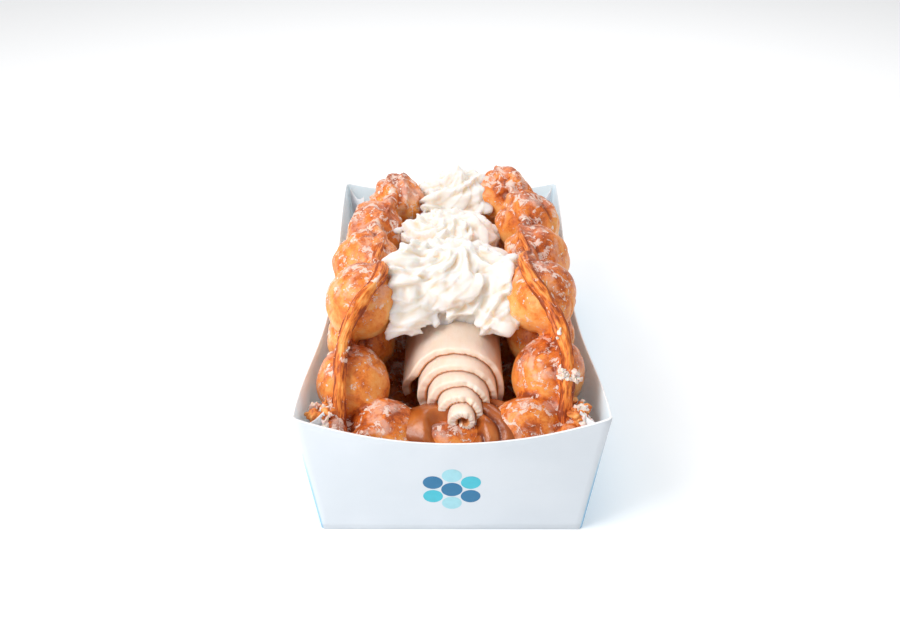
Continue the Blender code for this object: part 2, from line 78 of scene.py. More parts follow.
# Waffle sheet and bubbles
SHEET_HALF_SPAN = 125 * MM
SHEET_THICKNESS = 4.4 * MM
BORDER_THICKNESS = 4.8 * MM
EDGE_WAVE = 2.2 * MM
TOP_SCALLOP = 5 * MM
FLOOR_HALF_WIDTH = 30.5 * MM
FOLD_RADIUS = 14 * MM
LEAN_START = 96 * MM
LEAN_IN = 13 * MM
SHEET_FRONT = 6.5 * MM
SHEET_FRONT_SETBACK = 45 * MM
SHEET_REAR = 236 * MM
SHEET_REAR_SETBACK = 60 * MM
CURL_LENGTH = 24 * MM
CURL_START = 38 * MM
CURL_HEIGHT_MIDDLE = 26 * MM
CURL_HEIGHT_SIDES = 37 * MM
REAR_NARROWING = 0.44
RIGHT_RISE = 4.5 * MM
FRONT_FLARE = 3.5 * MM
BUBBLE_PITCH = 36 * MM
BUBBLE_RADIUS = 17.6 * MM
BUBBLE_DEPTH = 15.5 * MM
HIDDEN_DEPTH = 14 * MM
FLOOR_SHIFT = 3 * MM
FLAP_ROW = 60 * MM
FLAP_BUBBLE_DEPTH = 16.6 * MM
BUBBLE_ROWS = (
    (0 * MM, 50 * MM, False),
    (31 * MM, 22 * MM, True),
    (51 * MM, 28 * MM, False),
    (81 * MM, 41 * MM, True),
    (108 * MM, 65 * MM, True),
)
BUBBLE_REAR_MARGIN = 14 * MM
FLAP_BUBBLE_SHIFT = 1.5 * MM
EDGE_BUBBLE = (3 * MM, 16.5 * MM, 37.5 * MM)
EDGE_BUBBLE_RADIUS = 9.5 * MM
FRONT_BUBBLE = ((0 * MM, 14.5 * MM, 46 * MM), (17 * MM, 8.5 * MM, 9 * MM))
WAFFLE_VOXEL = 1.1 * MM
CRUMPLE_DEPTH = 3.2 * MM
CREASE_DEPTH = 1.0 * MM

# Torn bits of the sheet's border in the tray's front corners: middle, radii
TORN_BITS = (
    ((-52 * MM, 20 * MM, 54 * MM), (6 * MM, 8 * MM, 9 * MM)),
    ((-50 * MM, 12 * MM, 52 * MM), (6 * MM, 5 * MM, 7 * MM)),
    ((54 * MM, 17 * MM, 53 * MM), (6 * MM, 7 * MM, 8 * MM)),
    ((50 * MM, 10 * MM, 52 * MM), (5 * MM, 5 * MM, 6 * MM)),
)

# The torn border that lies over the bubbles
EDGE_HALF_WIDTH = 3.0 * MM
EDGE_HALF_DEPTH = 2.5 * MM
EDGE_SIDES = 36
EDGE_LIFT = 0.9 * MM
EDGE_START = 44 * MM
EDGE_TOP = 124.5 * MM
EDGE_FRONT_STEPS = 240
EDGE_TOP_SHARE = 130 / 360
EDGE_TOP_STEPS = 130
EDGE_EASING = 9
EDGE_TAPER_STEPS = 14
EDGE_THIN_FROM = 230
EDGE_THIN_OVER = 120

# Sugar and crumbs. Clumps: which border (0 left, 1 right), lowest and highest place on it, how many
SUGAR_PATH_STEPS = 235
SUGAR_CLUMPS = ((1, 73 * MM, 76 * MM, 34), (1, 86 * MM, 98 * MM, 3), (0, 60 * MM, 90 * MM, 3))
CORNER_BITS = ((-1, 26), (1, 34))
SUGAR_GRAINS = 520
SUGAR_LOWEST = 44 * MM

# Rolled ice cream
ROLL_RADIUS = 22.5 * MM
ROLL_AXIS_X = 2.6 * MM
ROLL_PITCH = 3.9 * MM
ROLL_THICKNESS = 3.7 * MM
ROLL_CORE = 3.2 * MM
ROLL_HOLLOW = 1.4 * MM
ROLL_LEVEL_CORE = 2.4 * MM
ROLL_CORE_SHIFT_X = 3.2 * MM
ROLL_CORE_SHIFT_Z = 2.2 * MM
ROLL_CORE_FRONT = 12.0 * MM
ROLL_OUTER_FRONT = 43.5 * MM
ROLL_FRONT_POWER = 1.12
ROLL_BACK = 196 * MM
ROLL_END_ANGLE = radians(205)
ROLL_PEEL = 3.8 * MM

# Whipped cream mounds, as in the part's source: x, place along, half width, half length, height,
# rise, radius of the rope, turns, and the peak's height in rope radii
CREAM_MOUNDS = (
    (0.0 * MM, 84 * MM, 22 * MM, 17 * MM, 82 * MM, 20 * MM, 15 * MM, 2.3, 0.35),
    (-1.5 * MM, 130 * MM, 15 * MM, 15 * MM, 83 * MM, 11 * MM, 14 * MM, 2.1, 0.3),
    (2.5 * MM, 177 * MM, 12 * MM, 12 * MM, 85 * MM, 15 * MM, 14 * MM, 2.2, 0.75),
)
CREAM_VOXEL = 0.65 * MM
CREAM_TIER = 15 * MM
TURN_HEIGHT = 1.8 * MM
PETAL_HEIGHT = 4.1 * MM
FINE_PETAL_HEIGHT = 0.9 * MM

# Caramel
SAUCE_MIDDLE = (9 * MM, 20 * MM, 49 * MM)
SAUCE_RADII = (36 * MM, 17 * MM, 9.5 * MM)
RIB_PITCH = 7.2 * MM
RIB_HEIGHT = 3.2 * MM
LOBE_HEIGHT = 2.2 * MM

FLOOR_MIDDLE = TRAY_WALL + CLEARANCE + BUBBLE_DEPTH
ROLL_AXIS_HEIGHT = FLOOR_MIDDLE + BUBBLE_DEPTH + CLEARANCE + ROLL_RADIUS


# Small helpers


def smoothstep(value):
    value = min(max(value, 0.0), 1.0)
    return value * value * (3 - 2 * value)


def smooth_steps(values):
    values = np.clip(values, 0, 1)
    return values * values * (3 - 2 * values)


def wave(x, y, z):
    return noise.noise(Vector((x, y, z)))


def from_front(x, along, z):
    return Vector((x, FRONT + along, z))


def facing(normal):
    """The turn that points +Z along this normal."""
    return normal.to_track_quat("Z", "Y").to_matrix()


def linked(name, data):
    obj = bpy.data.objects.new(name, data)
    bpy.context.scene.collection.objects.link(obj)
    return obj


def make_object(name, vertices, faces):
    mesh = bpy.data.meshes.new(name)
    mesh.from_pydata(vertices, [], faces)
    mesh.update()
    return linked(name, mesh)


def object_of(name, work):
    """An object that takes over a finished bmesh."""
    data = bpy.data.meshes.new(name)
    work.to_mesh(data)
    work.free()
    return linked(name, data)


def tube_faces(rings, around, start=0):
    """Quads between rings of points that follow one another."""
    faces = []
    for ring in range(rings - 1):
        first = start + ring * around
        for step in range(around):
            a = first + step
            b = first + (step + 1) % around
            faces.append((a, b, b + around, a + around))
    return faces


def end_caps(rings, around, start=0):
    last = start + (rings - 1) * around
    return [tuple(range(start, start + around)), tuple(reversed(range(last, last + around)))]


def face_outward(obj):
    work = bmesh.new()
    work.from_mesh(obj.data)
    bmesh.ops.recalc_face_normals(work, faces=work.faces)
    work.to_mesh(obj.data)
    work.free()


def apply_modifiers(obj):
    graph = bpy.context.evaluated_depsgraph_get()
    mesh = bpy.data.meshes.new_from_object(obj.evaluated_get(graph))
    obj.modifiers.clear()
    obj.data = mesh


def shade_smooth(obj):
    obj.data.polygons.foreach_set("use_smooth", np.ones(len(obj.data.polygons), bool))
    obj.data.update()


def read(items, name, width, kind=float):
    values = np.empty(len(items) * width, kind)
    items.foreach_get(name, values)
    return values.reshape(-1, width)


def points_of(obj):
    return read(obj.data.vertices, "co", 3)


def normals_of(obj):
    return read(obj.data.vertices, "normal", 3)


def set_points(obj, co):
    obj.data.vertices.foreach_set("co", co.ravel())
    obj.data.update()


def noise_at(co, size, seed=0.0):
    """Smooth noise, about -1 to 1, with features about this size in metres."""
    scale = 1 / size
    return np.array([wave(x * scale + seed, y * scale, z * scale) for x, y, z in co])


def warp(co, size, amount, seed=0.0):
    shift = np.stack([noise_at(co, size, seed + 11.3 * axis) for axis in range(3)], axis=1)
    return co + shift * amount


def give_attribute(obj, name, values):
    layer = obj.data.attributes.new(name, "FLOAT", "POINT")
    layer.data.foreach_set("value", np.asarray(values, np.float32))


def smoothed_points(obj, times):
    """Where the vertices would be after this much smoothing."""
    co = points_of(obj)
    a, b = read(obj.data.edges, "vertices", 2, int).T
    degree = np.bincount(a, minlength=len(co)) + np.bincount(b, minlength=len(co))
    degree = np.maximum(degree, 1)[:, None]
    for _ in range(times):
        total = np.zeros_like(co)
        for axis in range(3):
            total[:, axis] = np.bincount(a, co[b, axis], len(co)) + np.bincount(b, co[a, axis], len(co))
        co = 0.4 * co + 0.6 * total / degree
    return co


def cavity_of(obj, times, full):
    """1 in a hollow, -1 on a ridge; full is the depth in metres that counts as 1."""
    depth = ((smoothed_points(obj, times) - points_of(obj)) * normals_of(obj)).sum(axis=1)
    return np.clip(depth / full, -1, 1)


def voxel_remesh(obj, size):
    change = obj.modifiers.new("voxels", "REMESH")
    change.mode = "VOXEL"
    change.voxel_size = size
    apply_modifiers(obj)


def joined(name, objects):
    work = bmesh.new()
    for obj in objects:
        work.from_mesh(obj.data)
        bpy.data.objects.remove(obj)
    return object_of(name, work)


def keep_largest_body(obj):
    mesh = obj.data
    a, b = read(mesh.edges, "vertices", 2, int).T
    label = np.arange(len(mesh.vertices))
    while True:
        lowest = np.minimum(label[a], label[b])
        new = label.copy()
        np.minimum.at(new, a, lowest)
        np.minimum.at(new, b, lowest)
        new = new[new]
        if (new == label).all():
            break
        label = new
    names, counts = np.unique(label, return_counts=True)
    keep = names[counts.argmax()]
    work = bmesh.new()
    work.from_mesh(mesh)
    work.verts.ensure_lookup_table()
    gone = [work.verts[index] for index in np.flatnonzero(label != keep)]
    bmesh.ops.delete(work, geom=gone, context="VERTS")
    work.to_mesh(mesh)
    work.free()


def ball(middle, radii, turn=None, segments=40, rings=28):
    work = bmesh.new()
    bmesh.ops.create_uvsphere(work, u_segments=segments, v_segments=rings, radius=1)
    matrix = Matrix.Translation(middle) @ (turn or Matrix.Identity(4)) @ Matrix.Diagonal((*radii, 1))
    bmesh.ops.transform(work, matrix=matrix, verts=work.verts)
    return object_of("ball", work)


def place(obj, slot, *nodes):
    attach(obj, "root")
    if nodes:
        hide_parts(*nodes)


def dress(obj, material, slot, *nodes):
    obj.data.materials.append(material)
    shade_smooth(obj)
    place(obj, slot, *nodes)


# Materials


class Nodes:
    """Short calls for building a material's nodes."""

    def __init__(self, name):
        self.material = bpy.data.materials.new(name)
        self.material.use_nodes = True
        self.tree = self.material.node_tree
        self.shader = self.tree.nodes["Principled BSDF"]

    def put(self, socket, value):
        if isinstance(value, bpy.types.NodeSocket):
            self.tree.links.new(value, socket)
        else:
            socket.default_value = value

    def new(self, kind, inputs=None, **settings):
        node = self.tree.nodes.new(kind)
        for key, value in settings.items():
            setattr(node, key, value)
        for key, value in (inputs or {}).items():
            self.put(node.inputs[key], value)
        return node

    def coordinates(self):
        return self.new("ShaderNodeTexCoord").outputs["Object"]

    def attribute(self, name):
        return self.new("ShaderNodeAttribute", attribute_name=name).outputs["Fac"]

    def noise(self, size, detail=3.0, roughness=0.55, stretch=None, distortion=0.0, vector=None):
        vector = vector or self.coordinates()
        if stretch:
            vector = self.new("ShaderNodeMapping", {"Vector": vector, "Scale": stretch}).outputs["Vector"]
        inputs = {"Vector": vector, "Scale": 1 / size, "Detail": detail, "Roughness": roughness}
        return self.new("ShaderNodeTexNoise", {**inputs, "Distortion": distortion}).outputs["Fac"]

    def cells(self, size):
        inputs = {"Vector": self.coordinates(), "Scale": 1 / size}
        return self.new("ShaderNodeTexVoronoi", inputs).outputs["Distance"]

    def math(self, operation, a, b, clamp=False):
        return self.new("ShaderNodeMath", {0: a, 1: b}, operation=operation, use_clamp=clamp).outputs[0]

    def add(self, a, b, clamp=False):
        return self.math("ADD", a, b, clamp)

    def scaled(self, a, b):
        return self.math("MULTIPLY", a, b)

    def ramp(self, value, low, high, to_low=0.0, to_high=1.0):
        inputs = {"Value": value, "From Min": low, "From Max": high, "To Min": to_low, "To Max": to_high}
        return self.new("ShaderNodeMapRange", inputs, interpolation_type="SMOOTHSTEP").outputs[0]

    def colours(self, value, stops):
        node = self.new("ShaderNodeValToRGB", {"Fac": value})
        ramp = node.color_ramp
        while len(ramp.elements) < len(stops):
            ramp.elements.new(0.5)
        for element, (position, colour) in zip(ramp.elements, stops):
            element.position = position
            element.color = (*colour, 1)
        return node.outputs["Color"]

    def mix(self, share, a, b):
        a, b = (value if isinstance(value, bpy.types.NodeSocket) else (*value, 1) for value in (a, b))
        return self.new("ShaderNodeMix", {"Factor": share, 6: a, 7: b}, data_type="RGBA").outputs[2]

    def bump(self, height, distance, strength=1.0, normal=None):
        inputs = {"Strength": strength, "Distance": distance, "Height": height}
        if normal:
            inputs["Normal"] = normal
        return self.new("ShaderNodeBump", inputs).outputs["Normal"]

    def finish(self, colour, roughness, normal=None, **sockets):
        sockets.update(Base_Color=colour, Roughness=roughness)
        if normal:
            sockets["Normal"] = normal
        for name, value in sockets.items():
            self.put(self.shader.inputs[name.replace("_", " ")], value)
        return self.material


CRUST_DARK = (0.30, 0.05, 0.009)
CRUST_BROWN = (0.60, 0.125, 0.018)
CRUST_MID = (0.84, 0.235, 0.036)
CRUST_GOLD = (0.93, 0.36, 0.078)
CRUST_PALE = (0.95, 0.50, 0.18)
SUGAR = (0.93, 0.72, 0.62)


def crust_colour(n, toast_and_shade):
    stops = ((0.0, CRUST_PALE), (0.28, CRUST_GOLD), (0.5, CRUST_MID), (0.74, CRUST_BROWN), (1.0, CRUST_DARK))
    return n.colours(toast_and_shade, stops)


def crust_material():
    n = Nodes("toasted_crust")
    mottle = n.noise(11 * MM, 4, 0.6, distortion=0.6)
    fine = n.noise(2.6 * MM, 4, 0.65)
    speckle = n.noise(0.9 * MM, 2, 0.5)
    # The attribute read here holds browning plus painted shade in the crust's hollows and creases; the noise
    # adds random browning.
    toast_and_shade = n.add(n.attribute("toast_and_shade"), n.ramp(mottle, 0.3, 0.74, -0.24, 0.27))
    toast_and_shade = n.add(toast_and_shade, n.ramp(fine, 0.3, 0.75, -0.12, 0.14))
    toast_and_shade = n.add(toast_and_shade, n.ramp(speckle, 0.35, 0.75, -0.03, 0.09), clamp=True)
    base = crust_colour(n, toast_and_shade)
    sweet = n.attribute("sugar")
    veil = n.add(sweet, n.ramp(n.noise(9 * MM, 4, 0.6, distortion=0.8), 0.35, 0.7, -0.5, 0.6))
    veil = n.ramp(veil, 0.05, 0.75, 0.0, 0.36)
    flakes = n.add(sweet, n.ramp(n.noise(4.6 * MM, 5, 0.7, distortion=0.6), 0.44, 0.62, -0.55, 0.7))
    flakes = n.add(flakes, n.ramp(n.noise(0.8 * MM, 2, 0.6), 0.3, 0.7, -0.22, 0.22))
    flakes = n.ramp(flakes, 0.34, 0.58, 0.0, 0.8)
    cover = n.math("MAXIMUM", veil, flakes)
    colour = n.mix(cover, base, SUGAR)
    height = n.add(n.ramp(fine, 0.2, 0.8, 0.0, 0.3), n.scaled(flakes, 0.55))
    height = n.add(height, n.scaled(speckle, 0.2))
    rough = n.ramp(cover, 0.0, 0.6, 0.36, 0.66)
    return n.finish(
        colour, rough, n.bump(height, 0.5 * MM, 0.7),
        Subsurface_Weight=0.06, Subsurface_Scale=0.004, Coat_Weight=0.07, Coat_Roughness=0.15,
        Specular_IOR_Level=0.34,
    )


def edge_material():
    """The sheet's cut edge: drawn-out fibres, with sugar caught on it."""
    n = Nodes("fibrous_edge")
    drawn_out = {0: n.scaled(n.attribute("fibre"), 2.6), 1: n.scaled(n.attribute("along"), 0.13)}
    strands = n.noise(1.0, 4, 0.65, vector=n.new("ShaderNodeCombineXYZ", drawn_out).outputs[0])
    toast_and_shade = n.add(n.ramp(strands, 0.36, 0.66, 0.3, 0.9), n.ramp(n.noise(9 * MM), 0.3, 0.7, -0.16, 0.22))
    toast_and_shade = n.add(toast_and_shade, n.attribute("toast_and_shade"), clamp=True)
    blotch = n.noise(4.5 * MM, 4, 0.65, distortion=0.8)
    cover = n.ramp(n.add(n.attribute("sugar"), n.ramp(blotch, 0.42, 0.68, -0.5, 0.5)), 0.3, 0.6, 0.0, 0.85)
    colour = n.mix(cover, crust_colour(n, toast_and_shade), SUGAR)
    return n.finish(
        colour, n.ramp(cover, 0.0, 0.8, 0.42, 0.66), n.bump(strands, 0.4 * MM, 0.7),
        Subsurface_Weight=0.08, Subsurface_Scale=0.003, Specular_IOR_Level=0.3,
    )


def ice_cream_material():
    n = Nodes("rolled_ice_cream")
    soft = n.noise(9 * MM, 3, 0.5)
    streak = n.noise(3 * MM, 3, 0.6, stretch=(1, 0.25, 1))
    shade = n.add(n.ramp(soft, 0.3, 0.7, 0.0, 0.4), n.ramp(streak, 0.35, 0.7, 0.0, 0.3), clamp=True)
    base = n.mix(shade, (0.955, 0.79, 0.675), (0.91, 0.68, 0.52))
    # Painted shade with brown staining: orange-brown on the underside of each layer's lip and its inner face,
    # where the next layer tucks under.
    lip_shade_and_stain = n.ramp(n.attribute("lip_shade_and_stain"), 0.0, 1.0)
    colour = n.mix(lip_shade_and_stain, base, (0.72, 0.29, 0.10))
    specks = n.ramp(n.cells(5 * MM), 0.0, 0.055, 0.75, 0.0)
    colour = n.mix(specks, colour, (0.48, 0.2, 0.08))
    height = n.add(n.noise(1.1 * MM, 3, 0.6), n.scaled(streak, 0.8))
    return n.finish(
        colour, 0.42, n.bump(height, 0.22 * MM, 0.6),
        Subsurface_Weight=0.45, Subsurface_Scale=0.003, Subsurface_Radius=(1, 0.7, 0.5),
        Coat_Weight=0.05, Coat_Roughness=0.3,
    )


def cream_material():
    n = Nodes("whipped_cream")
    # Painted shade: a warm yellow tint in the cream's folds and hollows.
    hollow = n.ramp(n.attribute("hollow"), -0.05, 0.75)
    soft = n.noise(8 * MM, 3, 0.5)
    base = n.mix(n.ramp(soft, 0.35, 0.7), (0.875, 0.84, 0.80), (0.865, 0.815, 0.75))
    colour = n.mix(hollow, base, (0.90, 0.735, 0.52))
    grain = n.add(n.noise(0.8 * MM, 3, 0.6), n.scaled(n.noise(2.6 * MM, 3, 0.6), 1.2))
    return n.finish(
        colour, 0.55, n.bump(grain, 0.25 * MM, 0.4),
        Subsurface_Weight=0.9, Subsurface_Scale=0.006, Subsurface_Radius=(1, 0.85, 0.65),
        Specular_IOR_Level=0.3,
    )


def caramel_material():
    n = Nodes("caramel_sauce")
    stops = ((0.3, (0.30, 0.062, 0.009)), (0.52, (0.44, 0.11, 0.018)), (0.72, (0.58, 0.175, 0.035)))
    colour = n.colours(n.noise(9 * MM, 2, 0.45, distortion=0.6), stops)
    # Painted shade: darker in the valleys between the ribs.
    colour = n.mix(n.ramp(n.attribute("hollow"), 0.0, 0.9), colour, (0.20, 0.035, 0.007))
    swells = n.noise(3.2 * MM, 3, 0.6, stretch=(1, 0.6, 1), distortion=0.8)
    return n.finish(
        colour, 0.27, n.bump(swells, 0.5 * MM, 0.7),
        Subsurface_Weight=0.08, Subsurface_Scale=0.003, Coat_Weight=0.22, Coat_Roughness=0.07,
        Specular_IOR_Level=0.35,
    )


def board_material():
    n = Nodes("paper_board")
    side = n.attribute("side")
    height = n.attribute("height")
    blue = n.mix(n.ramp(height, 0.3, 0.98), (0.062, 0.40, 0.66), (0.72, 0.86, 0.92))
    fibres = n.noise(1.2 * MM, 3, 0.6, stretch=(1, 1, 0.45))
    white = n.mix(n.ramp(n.noise(35 * MM, 2, 0.5), 0.3, 0.7), (0.63, 0.675, 0.722), (0.665, 0.705, 0.75))
    colour = n.mix(side, white, blue)
    creases = n.noise(26 * MM, 2, 0.5, stretch=(0.5, 1, 1.6), distortion=1.5)
    bump = n.bump(creases, 2.2 * MM, 0.14)
    return n.finish(colour, 0.48, n.bump(fibres, 0.12 * MM, 0.3, bump), Coat_Weight=0.06, Coat_Roughness=0.35)


def inner_material():
    n = Nodes("paper_inside")
    fibres = n.noise(1.2 * MM, 3, 0.6)
    stains = n.ramp(n.noise(9 * MM, 4, 0.6, distortion=0.5), 0.55, 0.75, 0.0, 0.3)
    colour = n.mix(stains, (0.72, 0.87, 1.0), (0.80, 0.82, 0.82))
    return n.finish(
        colour, 0.55, n.bump(fibres, 0.12 * MM, 0.3),
        Subsurface_Weight=0.65, Subsurface_Scale=0.0025, Subsurface_Radius=(1, 1, 1),
    )


def sugar_material():
    n = Nodes("sugar")
    tone = n.mix(n.ramp(n.noise(4 * MM, 2, 0.5), 0.3, 0.7), (0.93, 0.80, 0.73), (0.92, 0.68, 0.56))
    bump = n.bump(n.noise(0.7 * MM, 3, 0.6), 0.3 * MM, 0.6)
    return n.finish(tone, 0.35, bump, Subsurface_Weight=0.25, Subsurface_Scale=0.0015)


def crumb_material():
    n = Nodes("crumb")
    tone = crust_colour(n, n.ramp(n.noise(3 * MM, 3, 0.6), 0.3, 0.7, 0.05, 0.85))
    return n.finish(tone, 0.5, n.bump(n.noise(0.8 * MM, 3, 0.6), 0.35 * MM, 0.7))


def plain_material(name, colour, roughness):
    n = Nodes(name)
    tone = n.mix(n.ramp(n.noise(3 * MM, 3, 0.6), 0.3, 0.7), colour, tuple(c * 0.93 for c in colour))
    return n.finish(tone, roughness)


# The tray


def rounded_rectangle(half_x, half_y, steps_x, steps_y):
    points = []
    radius = TRAY_CORNER_RADIUS
    sides = (
        ((-1, -1), (1, 0), half_x, steps_x, True),
        ((1, -1), (0, 1), half_y, steps_y, False),
        ((1, 1), (-1, 0), half_x, steps_x, True),
        ((-1, 1), (0, -1), half_y, steps_y, False),
    )
    for (corner_x, corner_y), (along_x, along_y), half, steps, is_end in sides:
        for step in range(steps + 1):
            share = -1 + 2 * step / steps
            reach = share * (half - radius)
            x = corner_x * half_x if along_x == 0 else reach * along_x
            y = corner_y * half_y if along_y == 0 else reach * along_y
            points.append((x, y, share, is_end))
    return points


def tray_ring(height_share, inset, drop=0.0):
    half_x = TRAY_WIDTH / 2 - TRAY_SIDE_INSET * (1 - height_share) - inset
    half_y = TRAY_LENGTH / 2 - TRAY_END_INSET * (1 - height_share) - inset
    ring = []
    for x, y, share, is_end in rounded_rectangle(half_x, half_y, 48, 80):
        curve = 1 - share * share
        if is_end:
            dip = TRAY_END_DIP * curve * height_share
            y += copysign(TRAY_END_BOW * curve * height_share, y)
        else:
            dip = TRAY_SIDE_DIP * curve * curve * height_share
            x -= copysign(TRAY_SIDE_INSET * dip / TRAY_HEIGHT, x)
        ring.append((Vector((x, y, TRAY_HEIGHT * height_share - dip - drop)), is_end))
    return ring


def build_tray():
    """Thin board: the outside, a rounded rim, and the inside."""
    levels = 14
    shares = [level / levels for level in range(levels)]
    rings = [tray_ring(share, 0) for share in shares]
    rim = ((0, 0.25), (0.12, 0.06), (0.4, 0), (0.68, 0.06), (BOARD / MM, 0.25))
    rings += [tray_ring(1, inset * MM, drop * MM) for inset, drop in rim]
    rings += [tray_ring(share, BOARD) for share in reversed(shares[1:])]
    heights = shares + [1.0] * len(rim) + shares[:0:-1] + [0.0]
    rings.append([(Vector((p.x, p.y, BOARD)), end) for p, end in tray_ring(BOARD / TRAY_HEIGHT, BOARD)])
    count = len(rings[0])
    faces = tube_faces(len(rings), count)
    base, inner_base = end_caps(len(rings), count)
    faces += [tuple(reversed(base)), tuple(reversed(inner_base))]
    tray = make_object("paper_tray_board", [p for ring in rings for p, _ in ring], faces)
    fade = 3 * MM
    reach = TRAY_LENGTH / 2 - fade
    sides = [0.0 if end else smoothstep((reach - abs(p.y)) / fade) for ring in rings for p, end in ring]
    give_attribute(tray, "side", sides)
    give_attribute(tray, "height", [height for height in heights for _ in range(count)])
    outer_board, inner_paper, cut_edge = range(3)
    tray.data.materials.append(board_material())
    tray.data.materials.append(inner_material())
    tray.data.materials.append(plain_material("paper_cut_edge", (0.93, 0.94, 0.95), 0.5))
    for polygon in tray.data.polygons:
        ring = polygon.index // count
        if ring < levels or polygon.index == len(faces) - 2:
            polygon.material_index = outer_board
        else:
            polygon.material_index = cut_edge if ring < levels + len(rim) - 1 else inner_paper
    shade_smooth(tray)
    place(tray, "tray_paper", "paper_tray")


def build_gussets():
    """The folded corner flaps inside the tray, one in each corner."""
    rows = 9
    columns = 13
    vertices = []
    faces = []
    for side_x, end_y in ((-1, -1), (-1, 1), (1, -1), (1, 1)):
        start = len(vertices)
        for row in range(rows):
            fall = row / (rows - 1)
            for column in range(columns):
                reach = column / (columns - 1)
                rise = sin(reach * pi)
                x = TRAY_WIDTH / 2 - (2.8 + 9 * reach + 5.2 * fall) * MM
                y = TRAY_LENGTH / 2 - (2.0 + 9.5 * sin(reach * pi / 2) ** 1.3 + 8.5 * fall) * MM
                z = TRAY_HEIGHT - (2.6 + 3.4 * rise + 1.5 * reach + (44 - 10 * reach) * fall) * MM
                vertices.append(Vector((side_x * x, end_y * y, z)))
        for row in range(rows - 1):
            for column in range(columns - 1):
                a = start + row * columns + column
                faces.append((a, a + 1, a + columns + 1, a + columns))
    gussets = make_object("tray_corner_flaps", vertices, faces)
    gussets.modifiers.new("board", "SOLIDIFY").thickness = 0.5 * MM
    apply_modifiers(gussets)
    dress(gussets, plain_material("flap_paper", (0.90, 0.90, 0.91), 0.5), "tray_paper")


def onto_front_panel(x, z, lift):
    """The point this far in front of the tray's leaning, bowed front panel."""
    curve = 1 - (x / (TRAY_WIDTH / 2 - TRAY_SIDE_INSET / 2)) ** 2
    share = z / (TRAY_HEIGHT - TRAY_END_DIP * curve)
    return from_front(x, TRAY_END_INSET * (1 - share) - TRAY_END_BOW * curve * share - lift, z)


def build_ornament():
    """A plain cluster of round dots printed on the front panel."""
    segments = 48
    vertices = []
    faces = []
    tones = []
    around = [radians(60 * turn + 30) for turn in range(6)]
    middles = [(0, 0)] + [(cos(angle), sin(angle)) for angle in around]
    for index, (across, up) in enumerate(middles):
        start = len(vertices)
        radius = DOT_RADIUS if index else DOT_RADIUS_MIDDLE
        for reach, lift in ((radius, DOT_GAP), (radius - DOT_BEVEL, DOT_GAP + DOT_INK)):
            for step in range(segments):
                angle = 2 * pi * step / segments
                x = across * DOT_SPACING + reach * cos(angle)
                z = DOT_HEIGHT + up * DOT_SPACING + reach * sin(angle)
                vertices.append(onto_front_panel(x, z, lift))
        back, front = end_caps(2, segments, start)
        faces += tube_faces(2, segments, start) + [tuple(reversed(front)), tuple(reversed(back))]
        tones += [index % 3] * (segments + 2)
    dots = make_object("printed_dots", vertices, faces)
    for name, colour in INKS:
        dots.data.materials.append(plain_material(name, colour, 0.45))
    for polygon, tone in zip(dots.data.polygons, tones):
        polygon.material_index = tone
    place(dots, "tray_paper")


# The waffle


def sheet_front(across):
    ripple = EDGE_WAVE * wave(across * 45, 8.1, 2.5)
    return SHEET_FRONT + SHEET_FRONT_SETBACK * (abs(across) / SHEET_HALF_SPAN) ** 2.9 + max(ripple, 0)


def sheet_rear(across):
    return SHEET_REAR - SHEET_REAR_SETBACK * (abs(across) / SHEET_HALF_SPAN) ** 2.4


def curl_lift(across, along):
    from_end = min(along, TRAY_LENGTH - along)
    side_share = min(abs(across) / (31 * MM), 1)
    height = CURL_HEIGHT_MIDDLE + (CURL_HEIGHT_SIDES - CURL_HEIGHT_MIDDLE) * side_share**2
    end_share = smoothstep((CURL_START - from_end) / CURL_LENGTH)
    return height * end_share * (1 - smoothstep((abs(across) - 33 * MM) / (30 * MM)))


def sheet_point(across, along, flare=FRONT_FLARE):
    side = abs(across)
    past_floor = max(side - FLOOR_HALF_WIDTH, 0)
    angle = min(past_floor / FOLD_RADIUS, pi / 2)
    x = min(side, FLOOR_HALF_WIDTH) + FOLD_RADIUS * sin(angle)
    z = FOLD_RADIUS * (1 - cos(angle)) + past_floor - FOLD_RADIUS * angle
    lean = max(side - LEAN_START, 0) / (SHEET_HALF_SPAN - LEAN_START)
    x -= LEAN_IN * lean * lean
    upper = smoothstep((side - 45 * MM) / (50 * MM))
    top = smoothstep((side - 82 * MM) / (26 * MM))
    closing = smoothstep((along - 118 * MM) / (95 * MM)) * REAR_NARROWING
    x *= 1 - closing * top
    x += 2.2 * MM * upper * wave(across * 22 + 3.7, along * 26, 0.4)
    x += flare * upper * smoothstep((62 * MM - along) / (26 * MM))
    z += FLOOR_MIDDLE + curl_lift(across, along)
    if across > 0:
        z += RIGHT_RISE * upper
    return Vector((copysign(x, across), FRONT + along, z))


def scalloped(across, along):
    first = BUBBLE_ROWS[-1][1]
    dip = TOP_SCALLOP * (0.5 - 0.5 * cos(2 * pi * (along - first) / BUBBLE_PITCH))
    return across - copysign(dip * (abs(across) / SHEET_HALF_SPAN) ** 6, across)


def sheet_normal(across, along):
    step = 0.5 * MM
    over = sheet_point(across + step, along) - sheet_point(across - step, along)
    on = sheet_point(across, along + step) - sheet_point(across, along - step)
    return over.cross(on).normalized()


